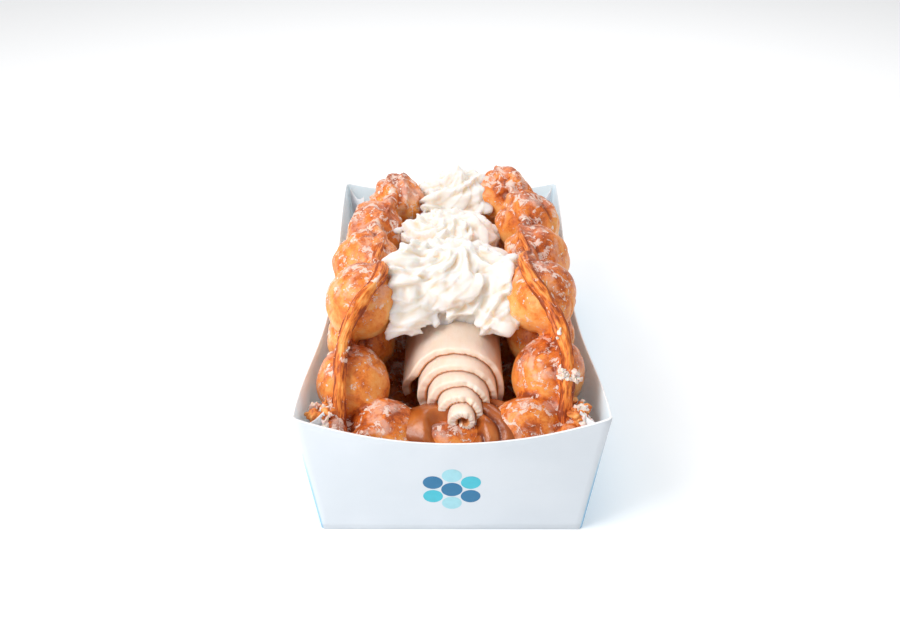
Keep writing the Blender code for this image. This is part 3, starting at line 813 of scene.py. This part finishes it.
def build_sheet(rows, steps):
    """The sheet between the bubbles as one slab, with a torn, uneven border."""
    top = []
    bottom = []
    for row in range(rows + 1):
        across = SHEET_HALF_SPAN * (-1 + 2 * row / rows)
        first = sheet_front(across)
        last = sheet_rear(across)
        for step in range(steps + 1):
            share = step / steps
            along = first + (last - first) * share
            spot = scalloped(across, along)
            middle = sheet_point(spot, along)
            normal = sheet_normal(spot, along)
            from_edge = min(share, 1 - share) * (last - first)
            from_top = SHEET_HALF_SPAN - abs(across)
            rim = smoothstep(1 - min(from_edge, from_top) / (5 * MM))
            half = (SHEET_THICKNESS + (BORDER_THICKNESS - SHEET_THICKNESS) * rim) / 2
            if row in (0, rows) or step in (0, steps):
                half *= 0.72
            top.append(middle + normal * half)
            bottom.append(middle - normal * half)
    vertices = top + bottom
    total = len(top)
    columns = steps + 1
    faces = []
    for row in range(rows):
        for step in range(steps):
            a = row * columns + step
            b = a + columns
            faces.append((a, b, b + 1, a + 1))
            faces.append((total + a, total + a + 1, total + b + 1, total + b))
    border = [row * columns for row in range(rows + 1)]
    border += [rows * columns + step for step in range(1, columns)]
    border += [row * columns + columns - 1 for row in range(rows - 1, -1, -1)]
    border += [step for step in range(columns - 2, 0, -1)]
    for index, a in enumerate(border):
        b = border[(index + 1) % len(border)]
        faces.append((a, total + a, total + b, b))
    return make_object("sheet", vertices, faces)


def bubble_places():
    draw = random.Random(7)
    places = []
    for across, first, shows in BUBBLE_ROWS:
        for side in (-1, 1) if across else (1,):
            along = first
            while along < sheet_rear(across) - BUBBLE_REAR_MARGIN:
                shift = FLOOR_SHIFT if across < 40 * MM else 0
                row = side * across + shift + draw.uniform(-1, 1) * MM
                spot = along + draw.uniform(-1.5, 1.5) * MM
                size = draw.uniform(0.94, 1.03)
                middle = sheet_point(row, spot, 0)
                normal = sheet_normal(row, spot)
                depth = BUBBLE_DEPTH if shows or not across else HIDDEN_DEPTH
                depth = FLAP_BUBBLE_DEPTH if across > FLAP_ROW else depth
                if across > FLAP_ROW:
                    middle.x -= side * FLAP_BUBBLE_SHIFT
                places.append((middle, normal, BUBBLE_RADIUS * size, depth * min(size, 1)))
                along += BUBBLE_PITCH
    small = Vector((0, -0.5, 0.87))
    places.append((from_front(*EDGE_BUBBLE), small, EDGE_BUBBLE_RADIUS, EDGE_BUBBLE_RADIUS))
    return places


def build_waffle():
    pieces = [build_sheet(150, 130)]
    bubbles = bubble_places()
    for middle, normal, radius, depth in bubbles:
        pieces.append(ball(middle, (radius, radius, depth), facing(normal).to_4x4()))
    middle, radii = FRONT_BUBBLE
    pieces.append(ball(from_front(*middle), radii))
    for middle, radii in TORN_BITS:
        pieces.append(ball(from_front(*middle), radii, segments=20, rings=14))
    waffle = joined("waffle_body", pieces)
    voxel_remesh(waffle, WAFFLE_VOXEL)
    keep_largest_body(waffle)
    set_points(waffle, smoothed_points(waffle, 2))
    co = points_of(waffle)
    normals = normals_of(waffle)
    bits = np.array([from_front(*middle) for middle, _ in TORN_BITS])
    near_bit = np.min(np.linalg.norm(co[:, None] - bits[None], axis=2), axis=1)
    torn = smooth_steps((11 * MM - near_bit) / (5 * MM))
    rear = smooth_steps((co[:, 1] - FRONT - 85 * MM) / (35 * MM))
    lift = (1.5 + 1.3 * rear) * MM * noise_at(co, 17 * MM, 2.0) + 0.4 * MM * noise_at(co, 6 * MM, 7.0)
    crumpled = np.abs(noise_at(warp(co, 20 * MM, 6 * MM, 61.0) / np.array((8, 20, 17)), MM, 66.0))
    lift += CRUMPLE_DEPTH * rear * (0.3 - np.minimum(crumpled * 1.6, 1)) * (co[:, 2] > 48 * MM)
    drawn = noise_at(co * (1, 1, 0.35), 8 * MM, 40.0)
    creased = smooth_steps(noise_at(co, 30 * MM, 44.0) * 2.5)
    lift -= CREASE_DEPTH * smooth_steps((0.16 - np.abs(drawn)) / 0.16) * creased
    lift += (0.13 + 0.5 * torn) * MM * noise_at(co, 2.1 * MM, 5.0)
    lift += 0.9 * MM * torn * noise_at(co, 4 * MM, 15.0)
    off_floor = co[:, 2] > 3 * MM
    co += normals * (lift * off_floor)[:, None]
    co[:, 2] = np.maximum(co[:, 2], 1.3 * MM)
    set_points(waffle, co)
    normals = normals_of(waffle)
    hollow = cavity_of(waffle, 10, 1.0 * MM)
    near = np.full(len(co), 1e9)
    ball_z = np.zeros(len(co))
    for middle, _, _, _ in bubbles:
        gap = np.linalg.norm(co - np.array(middle), axis=1)
        closer = gap < near
        near[closer] = gap[closer]
        ball_z[closer] = (co[closer, 2] - middle[2]) / BUBBLE_RADIUS
    patches = noise_at(co, 26 * MM, 31.0)
    # Browning plus painted shade: the hollow term darkens the crust in hollows and creases between the
    # bubbles; the other terms are browning, higher on each bubble, facing up, in random patches, on the sheet
    # between the bubbles and on the torn bits.
    toast_and_shade = 0.345 + 0.22 * ball_z + 0.12 * normals[:, 2] + 0.62 * np.clip(hollow, 0, 1) + 0.24 * patches
    off_ball = smooth_steps((near - 17 * MM) / (5 * MM))
    toast_and_shade += 0.12 * off_ball + 0.1 * torn
    give_attribute(waffle, "toast_and_shade", toast_and_shade)
    depth_y = (co[:, 1] - FRONT) / TRAY_LENGTH
    sugar = -0.28 + 0.5 * np.clip(normals[:, 2], 0, 1) + 0.3 * noise_at(co, 18 * MM, 51.0)
    sugar += 0.22 * smooth_steps((depth_y - 0.3) / 0.4) + 0.3 * torn - 0.2 * np.clip(hollow, 0, 1)
    give_attribute(waffle, "sugar", sugar)
    dress(waffle, crust_material(), "waffle_crust", "waffle")
    return waffle


def onto_bubbles(point, bubbles):
    """Moves a point that lies inside a bubble out to its surface."""
    for middle, normal, radius, depth in bubbles:
        turn = facing(normal)
        inside = turn.transposed() @ (point - middle)
        inside = Vector((inside.x / radius, inside.y / radius, inside.z / depth))
        if 0.2 < inside.length < 1.0:
            inside /= inside.length
            point = middle + turn @ Vector((inside.x * radius, inside.y * radius, inside.z * depth))
    return point


def edge_path(side, bubbles):
    """Points along the sheet's front border and then its top, over the bubbles, with their normals."""
    spots = []
    for step in range(EDGE_FRONT_STEPS):
        across = side * (EDGE_START + (EDGE_TOP - EDGE_START) * step / (EDGE_FRONT_STEPS - 1))
        spots.append((across, sheet_front(across)))
    first = sheet_front(side * SHEET_HALF_SPAN)
    length = (sheet_rear(SHEET_HALF_SPAN) - first) * EDGE_TOP_SHARE
    for step in range(1, EDGE_TOP_STEPS + 1):
        spots.append((side * EDGE_TOP, first + length * step / EDGE_TOP_STEPS))
    path = []
    for across, along in spots:
        spot = scalloped(across, along)
        path.append((onto_bubbles(sheet_point(spot, along), bubbles), sheet_normal(spot, along)))
    eased = []
    for index in range(len(path)):
        near = path[max(index - EDGE_EASING, 0) : index + EDGE_EASING + 1]
        total = sum((point for point, _ in near), Vector())
        turned = sum((normal for _, normal in near), Vector())
        eased.append((total / len(near), turned.normalized()))
    return eased


def edge_ring(middle, normal, outward, travelled, side, taper):
    """One ring of points round the border, ridged lengthways like torn fibres."""
    wide = EDGE_HALF_WIDTH * (1 + 0.3 * wave(travelled * 85, side * 3.0, 1.2))
    wobble = 0.9 * MM * wave(travelled * 60, side * 9.0, 7.7)
    twist = 1.2 * wave(travelled * 28, side * 2.0, 4.4)
    ring = []
    for step in range(EDGE_SIDES):
        angle = 2 * pi * step / EDGE_SIDES
        turn = angle + twist
        ridges = wave(cos(turn) * 1.7 + side * 5, sin(turn) * 1.7, travelled * 90)
        ridges += 0.55 * wave(cos(turn) * 4 + side, sin(turn) * 4, travelled * 200)
        reach = taper * (1 + 0.3 * ridges)
        over = normal * (cos(angle) * wide * reach + wobble)
        ring.append(middle + over + outward * (sin(angle) * EDGE_HALF_DEPTH * reach))
    return ring


def build_edges():
    """The thick fibrous border that runs up each side in front of the bubbles and back along the top."""
    vertices = []
    faces = []
    fibre = []
    along_values = []
    bubbles = bubble_places()
    paths = [edge_path(side, bubbles) for side in (-1, 1)]
    for side, path in zip((-1, 1), paths):
        start = len(vertices)
        travelled = 0.0
        for index, (middle, normal) in enumerate(path):
            way = path[min(index + 1, len(path) - 1)][0] - path[max(index - 1, 0)][0]
            outward = normal.cross(way.normalized()).normalized()
            if outward.y * 0.6 - outward.z > 0:
                outward = -outward
            travelled += way.length / 2
            ends = min(index, len(path) - 1 - index) / EDGE_TAPER_STEPS
            thin = 1 - 0.5 * smoothstep((index - EDGE_THIN_FROM) / EDGE_THIN_OVER)
            taper = thin * sqrt(min(ends, 1.0) * 0.97 + 0.03)
            vertices += edge_ring(middle + outward * EDGE_LIFT, normal, outward, travelled, side, taper)
            fibre += [step / EDGE_SIDES * 6 + side * 13 for step in range(EDGE_SIDES)]
            along_values += [travelled / MM] * EDGE_SIDES
        faces += tube_faces(len(path), EDGE_SIDES, start) + end_caps(len(path), EDGE_SIDES, start)
    edges = make_object("waffle_border", vertices, faces)
    face_outward(edges)
    give_attribute(edges, "fibre", fibre)
    give_attribute(edges, "along", along_values)
    co = points_of(edges)
    # Browner along the strip's two flanks than over its middle; the rest varies at random.
    flanks = 0.5 * np.abs(np.cos(2 * np.pi * (np.arange(len(co)) % EDGE_SIDES) / EDGE_SIDES)) ** 3
    give_attribute(edges, "toast_and_shade", -0.04 + 0.16 * noise_at(co, 14 * MM, 3.0) + flanks)
    give_attribute(edges, "sugar", -0.12 + 0.28 * normals_of(edges)[:, 2] + 0.5 * noise_at(co, 13 * MM, 9.0))
    dress(edges, edge_material(), "waffle_crust", "waffle")
    return paths


def chunk(mesh, draw, middle, size):
    """One rough lump added to a mesh."""
    turn = Matrix.Rotation(draw.uniform(0, 6.28), 4, "Z") @ Matrix.Rotation(draw.uniform(0, 6.28), 4, "X")
    shape = [size * draw.uniform(low, high) for low, high in ((0.8, 1.3), (0.7, 1.1), (0.5, 0.9))]
    matrix = Matrix.Translation(middle) @ turn @ Matrix.Diagonal((*shape, 1))
    made = bmesh.ops.create_icosphere(mesh, subdivisions=3, radius=1, matrix=matrix)
    seed = draw.uniform(0, 50)
    for vertex in made["verts"]:
        away = vertex.co - middle
        vertex.co += away * (0.9 * noise.noise(away * (1.5 / size) + Vector((seed, 0, 0))))


def build_lumps(paths):
    """Clumps of damp sugar on the borders, and crumbs in the front corners."""
    draw = random.Random(33)
    sugar = bmesh.new()
    crumbs = bmesh.new()
    for border, low, high, count in SUGAR_CLUMPS:
        fits = [middle for middle, _ in paths[border][:SUGAR_PATH_STEPS] if low < middle.z < high]
        for _ in range(count):
            shift = Vector((draw.gauss(0, 2.3), draw.gauss(-2.6, 0.5), draw.gauss(0, 1.0))) * MM
            chunk(sugar, draw, fits[draw.randrange(len(fits))] + shift, draw.uniform(0.7, 1.6) * MM)
    for side, count in CORNER_BITS:
        for _ in range(count):
            x, along, z = (draw.uniform(low, high) * MM for low, high in ((51, 59), (10, 24), (56, 62)))
            kind = sugar if draw.random() < 0.4 else crumbs
            chunk(kind, draw, from_front(side * x, along, z), draw.uniform(1.0, 2.6) * MM)
    dress(object_of("sugar_clumps", sugar), sugar_material(), "waffle_crust")
    dress(object_of("waffle_crumbs", crumbs), crumb_material(), "waffle_crust")


def build_sugar(waffle):
    """Flakes and grains of sugar lying on the crust."""
    draw = random.Random(21)
    co = points_of(waffle)
    normals = normals_of(waffle)
    open_to_sky = (normals[:, 2] > 0.15) & (co[:, 2] > SUGAR_LOWEST)
    fits = np.flatnonzero(open_to_sky & (noise_at(co, 9 * MM, 77.0) > 0.06))
    mesh = bmesh.new()
    for _ in range(SUGAR_GRAINS):
        index = int(fits[draw.randrange(len(fits))])
        size = draw.uniform(0.25, 0.6) * MM * (2.2 if draw.random() < 0.16 else 1)
        turn = facing(Vector(normals[index])).to_4x4() @ Matrix.Rotation(draw.uniform(0, 6.28), 4, "Z")
        shape = [size * draw.uniform(low, high) for low, high in ((0.7, 1.5), (0.6, 1.2), (0.3, 0.6))]
        matrix = Matrix.Translation(Vector(co[index])) @ turn @ Matrix.Diagonal((*shape, 1))
        made = bmesh.ops.create_icosphere(mesh, subdivisions=1, radius=1, matrix=matrix)
        for vertex in made["verts"]:
            vertex.co += Vector([draw.uniform(-1, 1) for _ in range(3)]) * size * 0.16
    grains = object_of("sugar_grains", mesh)
    grains.data.materials.append(sugar_material())
    place(grains, "waffle_crust")


# The rolled ice cream


def roll_front(radius):
    level_until = ROLL_CORE + ROLL_LEVEL_CORE
    share = (radius - level_until) / (ROLL_RADIUS - level_until)
    return ROLL_CORE_FRONT + (ROLL_OUTER_FRONT - ROLL_CORE_FRONT) * max(share, 0) ** ROLL_FRONT_POWER


def roll_centre(radius):
    share = 1 - radius / ROLL_RADIUS
    return ROLL_AXIS_X + ROLL_CORE_SHIFT_X * share, ROLL_AXIS_HEIGHT + ROLL_CORE_SHIFT_Z * share


def roll_point(radius, angle, along):
    centre_x, centre_z = roll_centre(radius)
    return from_front(centre_x + radius * cos(angle), along, centre_z + radius * sin(angle))


def roll_section(outer, front, ragged):
    """A cut through a layer, from its outer face round to its inner: radius, place along, and how much
    painted shade with brown staining lies there, under the lip and on the inner face.
    """
    inner = max(outer - ROLL_THICKNESS, ROLL_HOLLOW)
    wide = outer - inner
    section = [(outer, front + back * MM, 0.0) for back in (150, 100, 60, 36, 22, 14, 9, 6, 4, 2.6, 1.6, 0.9)]
    section += [
        (outer - 0.12 * MM, front + 0.45 * MM, 0.0),
        (outer - 0.5 * MM, front + 0.12 * MM, 0.0),
        (outer - 0.3 * wide, front + 0.3 * ragged, 0.0),
        (outer - 0.55 * wide, front + 0.6 * ragged, 0.0),
        (inner + 0.3 * wide, front + ragged, 0.05),
        (inner + 0.16 * wide, front + 0.1 * MM + ragged, 0.7),
        (inner, front + 0.6 * MM + ragged, 1.0),
    ]
    section += [(inner, front + back * MM, 1.0) for back in (2, 4, 8, 16, 34, 90, 150)]
    return [(radius, min(along, ROLL_BACK), lip_shade_and_stain) for radius, along, lip_shade_and_stain in section]


def build_roll():
    turns = (ROLL_RADIUS - ROLL_CORE) / ROLL_PITCH
    steps = round(turns * 110)
    vertices = []
    # Painted shade with brown staining under each layer's lip and on its inner face, gathered for every
    # point.
    stains = []
    for step in range(steps + 1):
        share = step / steps
        outer = ROLL_CORE + (ROLL_RADIUS - ROLL_CORE) * share
        angle = 2 * pi * turns * (share - 1) + ROLL_END_ANGLE
        outer += ROLL_PEEL * smoothstep((share - 1) * turns * 8 + 1)
        outer += 0.45 * MM * wave(angle * 1.3, 9.2, 2.3) * (1 - share)
        front = roll_front(outer) + (0.6 + 1.2 * share) * MM * wave(angle * 1.7, 4.2, 0.3)
        front += 0.8 * MM * wave(angle * 6.5, 1.2, 3.3)
        ragged = (0.4 + 0.8 * share) * MM * max(wave(angle * 17, 5.2, 1.3), -0.1)
        for radius, along, lip_shade_and_stain in roll_section(outer, front, ragged):
            flare = 0.35 * MM * exp(-(along - front) / (4 * MM)) * share
            vertices.append(roll_point(radius + flare, angle, along))
            stains.append(lip_shade_and_stain)
    count = len(vertices) // (steps + 1)
    faces = tube_faces(steps + 1, count) + end_caps(steps + 1, count)
    roll = make_object("ice_cream_layers", vertices, faces)
    give_attribute(roll, "lip_shade_and_stain", stains)
    face_outward(roll)
    dress(roll, ice_cream_material(), "ice_cream", "ice_cream_roll")


# The whipped cream


def star_rope(path, radii, twist, teeth, depth, seed):
    """A rope piped through a star nozzle: sharp ridges with round valleys between them."""
    ring_points = teeth * 10
    vertices = []
    count = len(path)
    travelled = 0.0
    for index, middle in enumerate(path):
        way = path[min(index + 1, count - 1)] - path[max(index - 1, 0)]
        travelled += way.length / 2
        tangent = way.normalized()
        side = tangent.cross(Vector((0, 0, 1)))
        side = side.normalized() if side.length > 0.2 else Vector((1, 0, 0))
        up = side.cross(tangent).normalized()
        pulse = 1 + 0.07 * wave(travelled * 90, seed, 0.7)
        for step in range(ring_points):
            angle = 2 * pi * step / ring_points
            phase = teeth * (angle + twist * travelled / 0.1) / 2
            reach = radii[index] * pulse * (1 - depth * abs(sin(phase)) ** 0.85)
            vertices.append(middle + (side * cos(angle) + up * sin(angle)) * reach)
    return make_object("rope", vertices, tube_faces(count, ring_points) + end_caps(count, ring_points))


def mound_path(mound, steps_a_turn, closing):
    middle_x, along, half_width, half_length, height, rise, rope, turns, peak = mound
    steps = round(turns * steps_a_turn)
    path = []
    radii = []
    for step in range(steps + 1):
        share = step / steps
        angle = 2 * pi * turns * share - pi * 0.35
        spread = 1 - share**closing
        x = middle_x + half_width * spread * cos(angle)
        path.append(from_front(x, along + half_length * spread * sin(angle), height + rise * share))
        radii.append(rope * (1 - 0.42 * share))
    base = path[-1].copy()
    for step in range(1, 9):
        share = step / 8
        lean = Vector((1.5 * MM * share * share, 0, 0))
        path.append(base + Vector((0, 0, rope * peak * share)) + lean)
        radii.append(rope * 0.58 * (1 - share) ** 0.8 + 0.5 * MM)
    return path, radii


def shell(draw, start, tip, radius, blunt=1.8):
    """A short ridged lobe that sweeps from start to a pointed tip, as where a star nozzle is pulled away."""
    path = []
    radii = []
    way = tip - start
    side = Vector((-way.y, way.x, 0)) * draw.uniform(-0.25, 0.25)
    arch = Vector((0, 0, 0.22 * way.length))
    for step in range(18):
        share = step / 17
        bend = 4 * share * (1 - share)
        path.append(start + way * share + (side + arch) * bend)
        radii.append(radius * (1 - share**blunt) + 0.3 * MM)
    seed = 5 + draw.randrange(9)
    return star_rope(path, radii, draw.uniform(-2, 2), 6, 0.36, seed)


def side_shells(draw, mound, count, drop, reach, radius):
    """Pointed teeth that stick out at both sides of a mound, from its top tiers down to its front."""
    made = []
    for side in (-1, 1):
        for step in range(count):
            share = (step + draw.uniform(-0.15, 0.15)) / (count - 1)
            x = mound[0] + side * (reach - 5 * MM * share + draw.uniform(-1.5, 1.5) * MM)
            y = FRONT + mound[1] - (6 + 24 * share) * MM * mound[6] / (15 * MM)
            z = mound[4] + mound[5] - (4 * MM + drop * share)
            tip = Vector((x, y, z))
            start = Vector((mound[0] + side * reach * 0.42, y + 5 * MM, z + 3 * MM))
            made.append(shell(draw, start, tip, radius * draw.uniform(0.85, 1.15)))
    return made


def fringe(draw):
    """The lower front edge of the cream, where flutes end in ruffles on the roll."""
    made = []
    front = Vector((0, FRONT, 0))
    for row, (count, tip_y, tip_z, radius) in enumerate(((12, 56.5, 79.5, 4.6), (9, 60, 88, 6.0))):
        for step in range(count):
            share = -1 + 2 * (step + 0.5 * row) / (count - 1 + row)
            bend = share * share
            tip = Vector((1 + (31 - 3 * row) * share, tip_y - 5 * bend, tip_z - 5 * bend))
            tip += Vector((draw.uniform(-1, 1), draw.uniform(-1.5, 1.5), draw.uniform(-1, 1)))
            start = Vector((1 + 24 * share, tip_y + 13 - 3 * bend, tip_z + 8 + 2 * bend))
            radius_here = radius * draw.uniform(0.9, 1.15) * MM
            made.append(shell(draw, start * MM + front, tip * MM + front, radius_here, 3.5))
    return made


def petals(co, tier, flutes, sweep, seed):
    """Overlapping turns and petals of piped cream laid round the nearest mound.

    Gives 1 on each turn's back, a rise over each petal to its thin edge, and 0 to 1 from the tip outwards.
    """
    nearest = np.full(len(co), 1e9)
    laid = np.zeros(len(co))
    around = np.zeros(len(co))
    for index, mound in enumerate(CREAM_MOUNDS):
        middle_x, along, half_width, half_length, height, rise, rope, _, _ = mound
        over_x = co[:, 0] - middle_x
        over_y = co[:, 1] - FRONT - along
        reach = np.hypot(over_x / (half_width + rope), over_y / (half_length + rope))
        angle = np.arctan2(over_y, over_x) / (2 * pi)
        size = (half_width + half_length) / 2 + rope
        down = reach * size * 0.75 + height + rise + rope - co[:, 2]
        closer = reach < nearest
        nearest[closer] = reach[closer]
        laid[closer] = (down / tier + angle + 0.4 * index)[closer]
        around[closer] = (angle * (flutes - 2 * index) + sweep * down / (40 * MM) + 0.37 * index)[closer]
    laid += 0.45 * noise_at(co, 24 * MM, seed)
    across = laid - np.floor(laid)
    back = np.abs(np.sin(np.pi * across)) ** 0.6
    around += 0.75 * noise_at(co, 22 * MM, seed + 5) + 0.22 * noise_at(co, 10 * MM, seed + 9) + 0.45 * across
    petal = around - np.floor(around)
    petal = petal**1.3 * smooth_steps((1 - petal) / 0.16)
    return back, petal, smooth_steps((nearest - 0.04) / 0.3)


def build_cream():
    draw = random.Random(5)
    pieces = [ball(from_front(1 * MM, 134 * MM, 80 * MM), (18 * MM, 62 * MM, 11 * MM))]
    for index, mound in enumerate(CREAM_MOUNDS):
        path, radii = mound_path(mound, 60, (2.6, 2.0, 1.8)[index])
        pieces.append(star_rope(path, radii, 3.0, 7, 0.26, 4 + index))
        middle_x, along, half_width, half_length, height, _, rope, _, _ = mound
        size = (half_width + rope * 0.3, half_length + rope * 0.35, rope)
        pieces.append(ball(from_front(middle_x, along, height), size))
    pieces += side_shells(draw, CREAM_MOUNDS[0], 7, 22 * MM, 36 * MM, 6.5 * MM)
    pieces += side_shells(draw, CREAM_MOUNDS[1], 4, 11 * MM, 26 * MM, 6.2 * MM)
    pieces += side_shells(draw, CREAM_MOUNDS[2], 4, 14 * MM, 23 * MM, 5.2 * MM)
    pieces += fringe(draw)
    cream = joined("piped_cream", pieces)
    set_points(cream, warp(points_of(cream), 18 * MM, 2.6 * MM, 4.0))
    voxel_remesh(cream, 0.9 * MM)
    keep_largest_body(cream)
    set_points(cream, smoothed_points(cream, 3))
    back, petal, share = petals(points_of(cream), CREAM_TIER, 9, 1.5, 1.0)
    lift = (TURN_HEIGHT * (back - 0.75) + PETAL_HEIGHT * (petal - 0.42)) * share
    lift += 0.9 * MM * noise_at(points_of(cream), 9 * MM, 14.0)
    set_points(cream, points_of(cream) + normals_of(cream) * lift[:, None])
    voxel_remesh(cream, CREAM_VOXEL)
    keep_largest_body(cream)
    set_points(cream, smoothed_points(cream, 3))
    co = points_of(cream)
    _, petal, share = petals(co, CREAM_TIER, 21, 3.0, 40.0)
    lift = FINE_PETAL_HEIGHT * (petal - 0.4) * share + 0.12 * MM * noise_at(co, 1.8 * MM, 3.0)
    set_points(cream, co + normals_of(cream) * lift[:, None])
    # Painted shade: the hollow measure tints the cream warm yellow in its folds.
    give_attribute(cream, "hollow", cavity_of(cream, 14, 1.4 * MM))
    dress(cream, cream_material(), "cream", "whipped_cream")


# The caramel


def build_sauce():
    """A pool of caramel with ribs where it was poured to and fro."""
    sauce = ball(Vector((0, 0, 0)), (1, 1, 1), segments=220, rings=110)
    co = points_of(sauce)
    middle_x, along, height = SAUCE_MIDDLE
    half_x, half_y, half_z = SAUCE_RADII
    flat_x = co[:, 0] * half_x
    flat_y = co[:, 1] * half_y
    round_tip = np.hypot(flat_x + 3 * MM, (flat_y + 15 * MM) * 0.85)
    crest = np.abs(np.sin(np.pi * (round_tip + 0.9 * MM * noise_at(co, 0.6, 3.0)) / RIB_PITCH)) ** 0.6
    right = smooth_steps((flat_x + 9 * MM) / (6 * MM))
    ribs = RIB_HEIGHT * (crest - 0.6) * right
    from_lobe = np.hypot((flat_x + 17 * MM) / (11 * MM), (flat_y + 1 * MM) / (9 * MM))
    lobe = LOBE_HEIGHT * np.exp(-(from_lobe**2))
    upper = smooth_steps(co[:, 2] / 0.25)
    swell = 0.8 * MM * noise_at(np.stack([flat_x, flat_y, flat_y * 0], axis=1), 9 * MM, 6.0)
    near_bubble = smooth_steps((13 * MM - np.abs(flat_x + 8 * MM)) / (6 * MM))
    thin = 1 - 0.9 * near_bubble * smooth_steps((1 * MM - flat_y) / (7 * MM))
    upward = np.maximum(co[:, 2], 0) * half_z * thin + np.minimum(co[:, 2], 0) * half_z
    upward += upper * (ribs + lobe + swell) * thin
    set_points(sauce, np.stack([middle_x + flat_x, FRONT + along + flat_y, height + upward], axis=1))
    sauce.name = "caramel_pool"
    # Painted shade: the hollow measure darkens the caramel in the valleys between the ribs.
    give_attribute(sauce, "hollow", upper * (1 - crest) ** 2 * 1.6 * right)
    dress(sauce, caramel_material(), "caramel", "caramel_sauce")


# Floor, lights and camera


def area_light(name, position, target, size, energy):
    data = bpy.data.lights.new(name, "AREA")
    data.shape = "RECTANGLE"
    data.size, data.size_y = size
    data.energy = energy
    light = linked(name, data)
    light.location = position
    light.rotation_euler = (Vector(target) - Vector(position)).to_track_quat("-Z", "Y").to_euler()


def build_stage():
    floor = make_object("floor", [(-4, -4, 0), (4, -4, 0), (4, 4, 0), (-4, 4, 0)], [(0, 1, 2, 3)])
    n = Nodes("floor_white")
    white = n.finish((0.93, 0.935, 0.94, 1), 0.6, Emission_Color=(1, 1, 1, 1), Emission_Strength=0.17)
    floor.data.materials.append(white)
    world = bpy.data.worlds.new("studio")
    world.use_nodes = True
    world.node_tree.nodes["Background"].inputs["Color"].default_value = (0.985, 0.99, 1.0, 1)
    world.node_tree.nodes["Background"].inputs["Strength"].default_value = 0.56
    bpy.context.scene.world = world
    area_light("key", (-0.6, -0.42, 0.75), (0, -0.03, 0.06), (0.5, 0.5), 6.1)
    area_light("window", (0.12, 0.55, 0.8), (0, 0, 0.06), (0.7, 0.4), 3.2)
    area_light("fill", (-0.42, -0.48, 0.14), (0, -0.05, 0.05), (0.25, 0.25), 0.7)
    camera = linked("camera", bpy.data.cameras.new("camera"))
    camera.data.lens = 40
    camera.data.sensor_width = 36
    camera.location = (-0.0008, -0.457, 0.309)
    camera.rotation_euler = (radians(60), 0, 0)
    bpy.context.scene.camera = camera
    bpy.context.scene.view_settings.view_transform = "Standard"


def main():
    build_tray()
    build_gussets()
    build_ornament()
    waffle = build_waffle()
    build_lumps(build_edges())
    build_sugar(waffle)
    build_roll()
    build_cream()
    build_sauce()
    build_stage()


main()
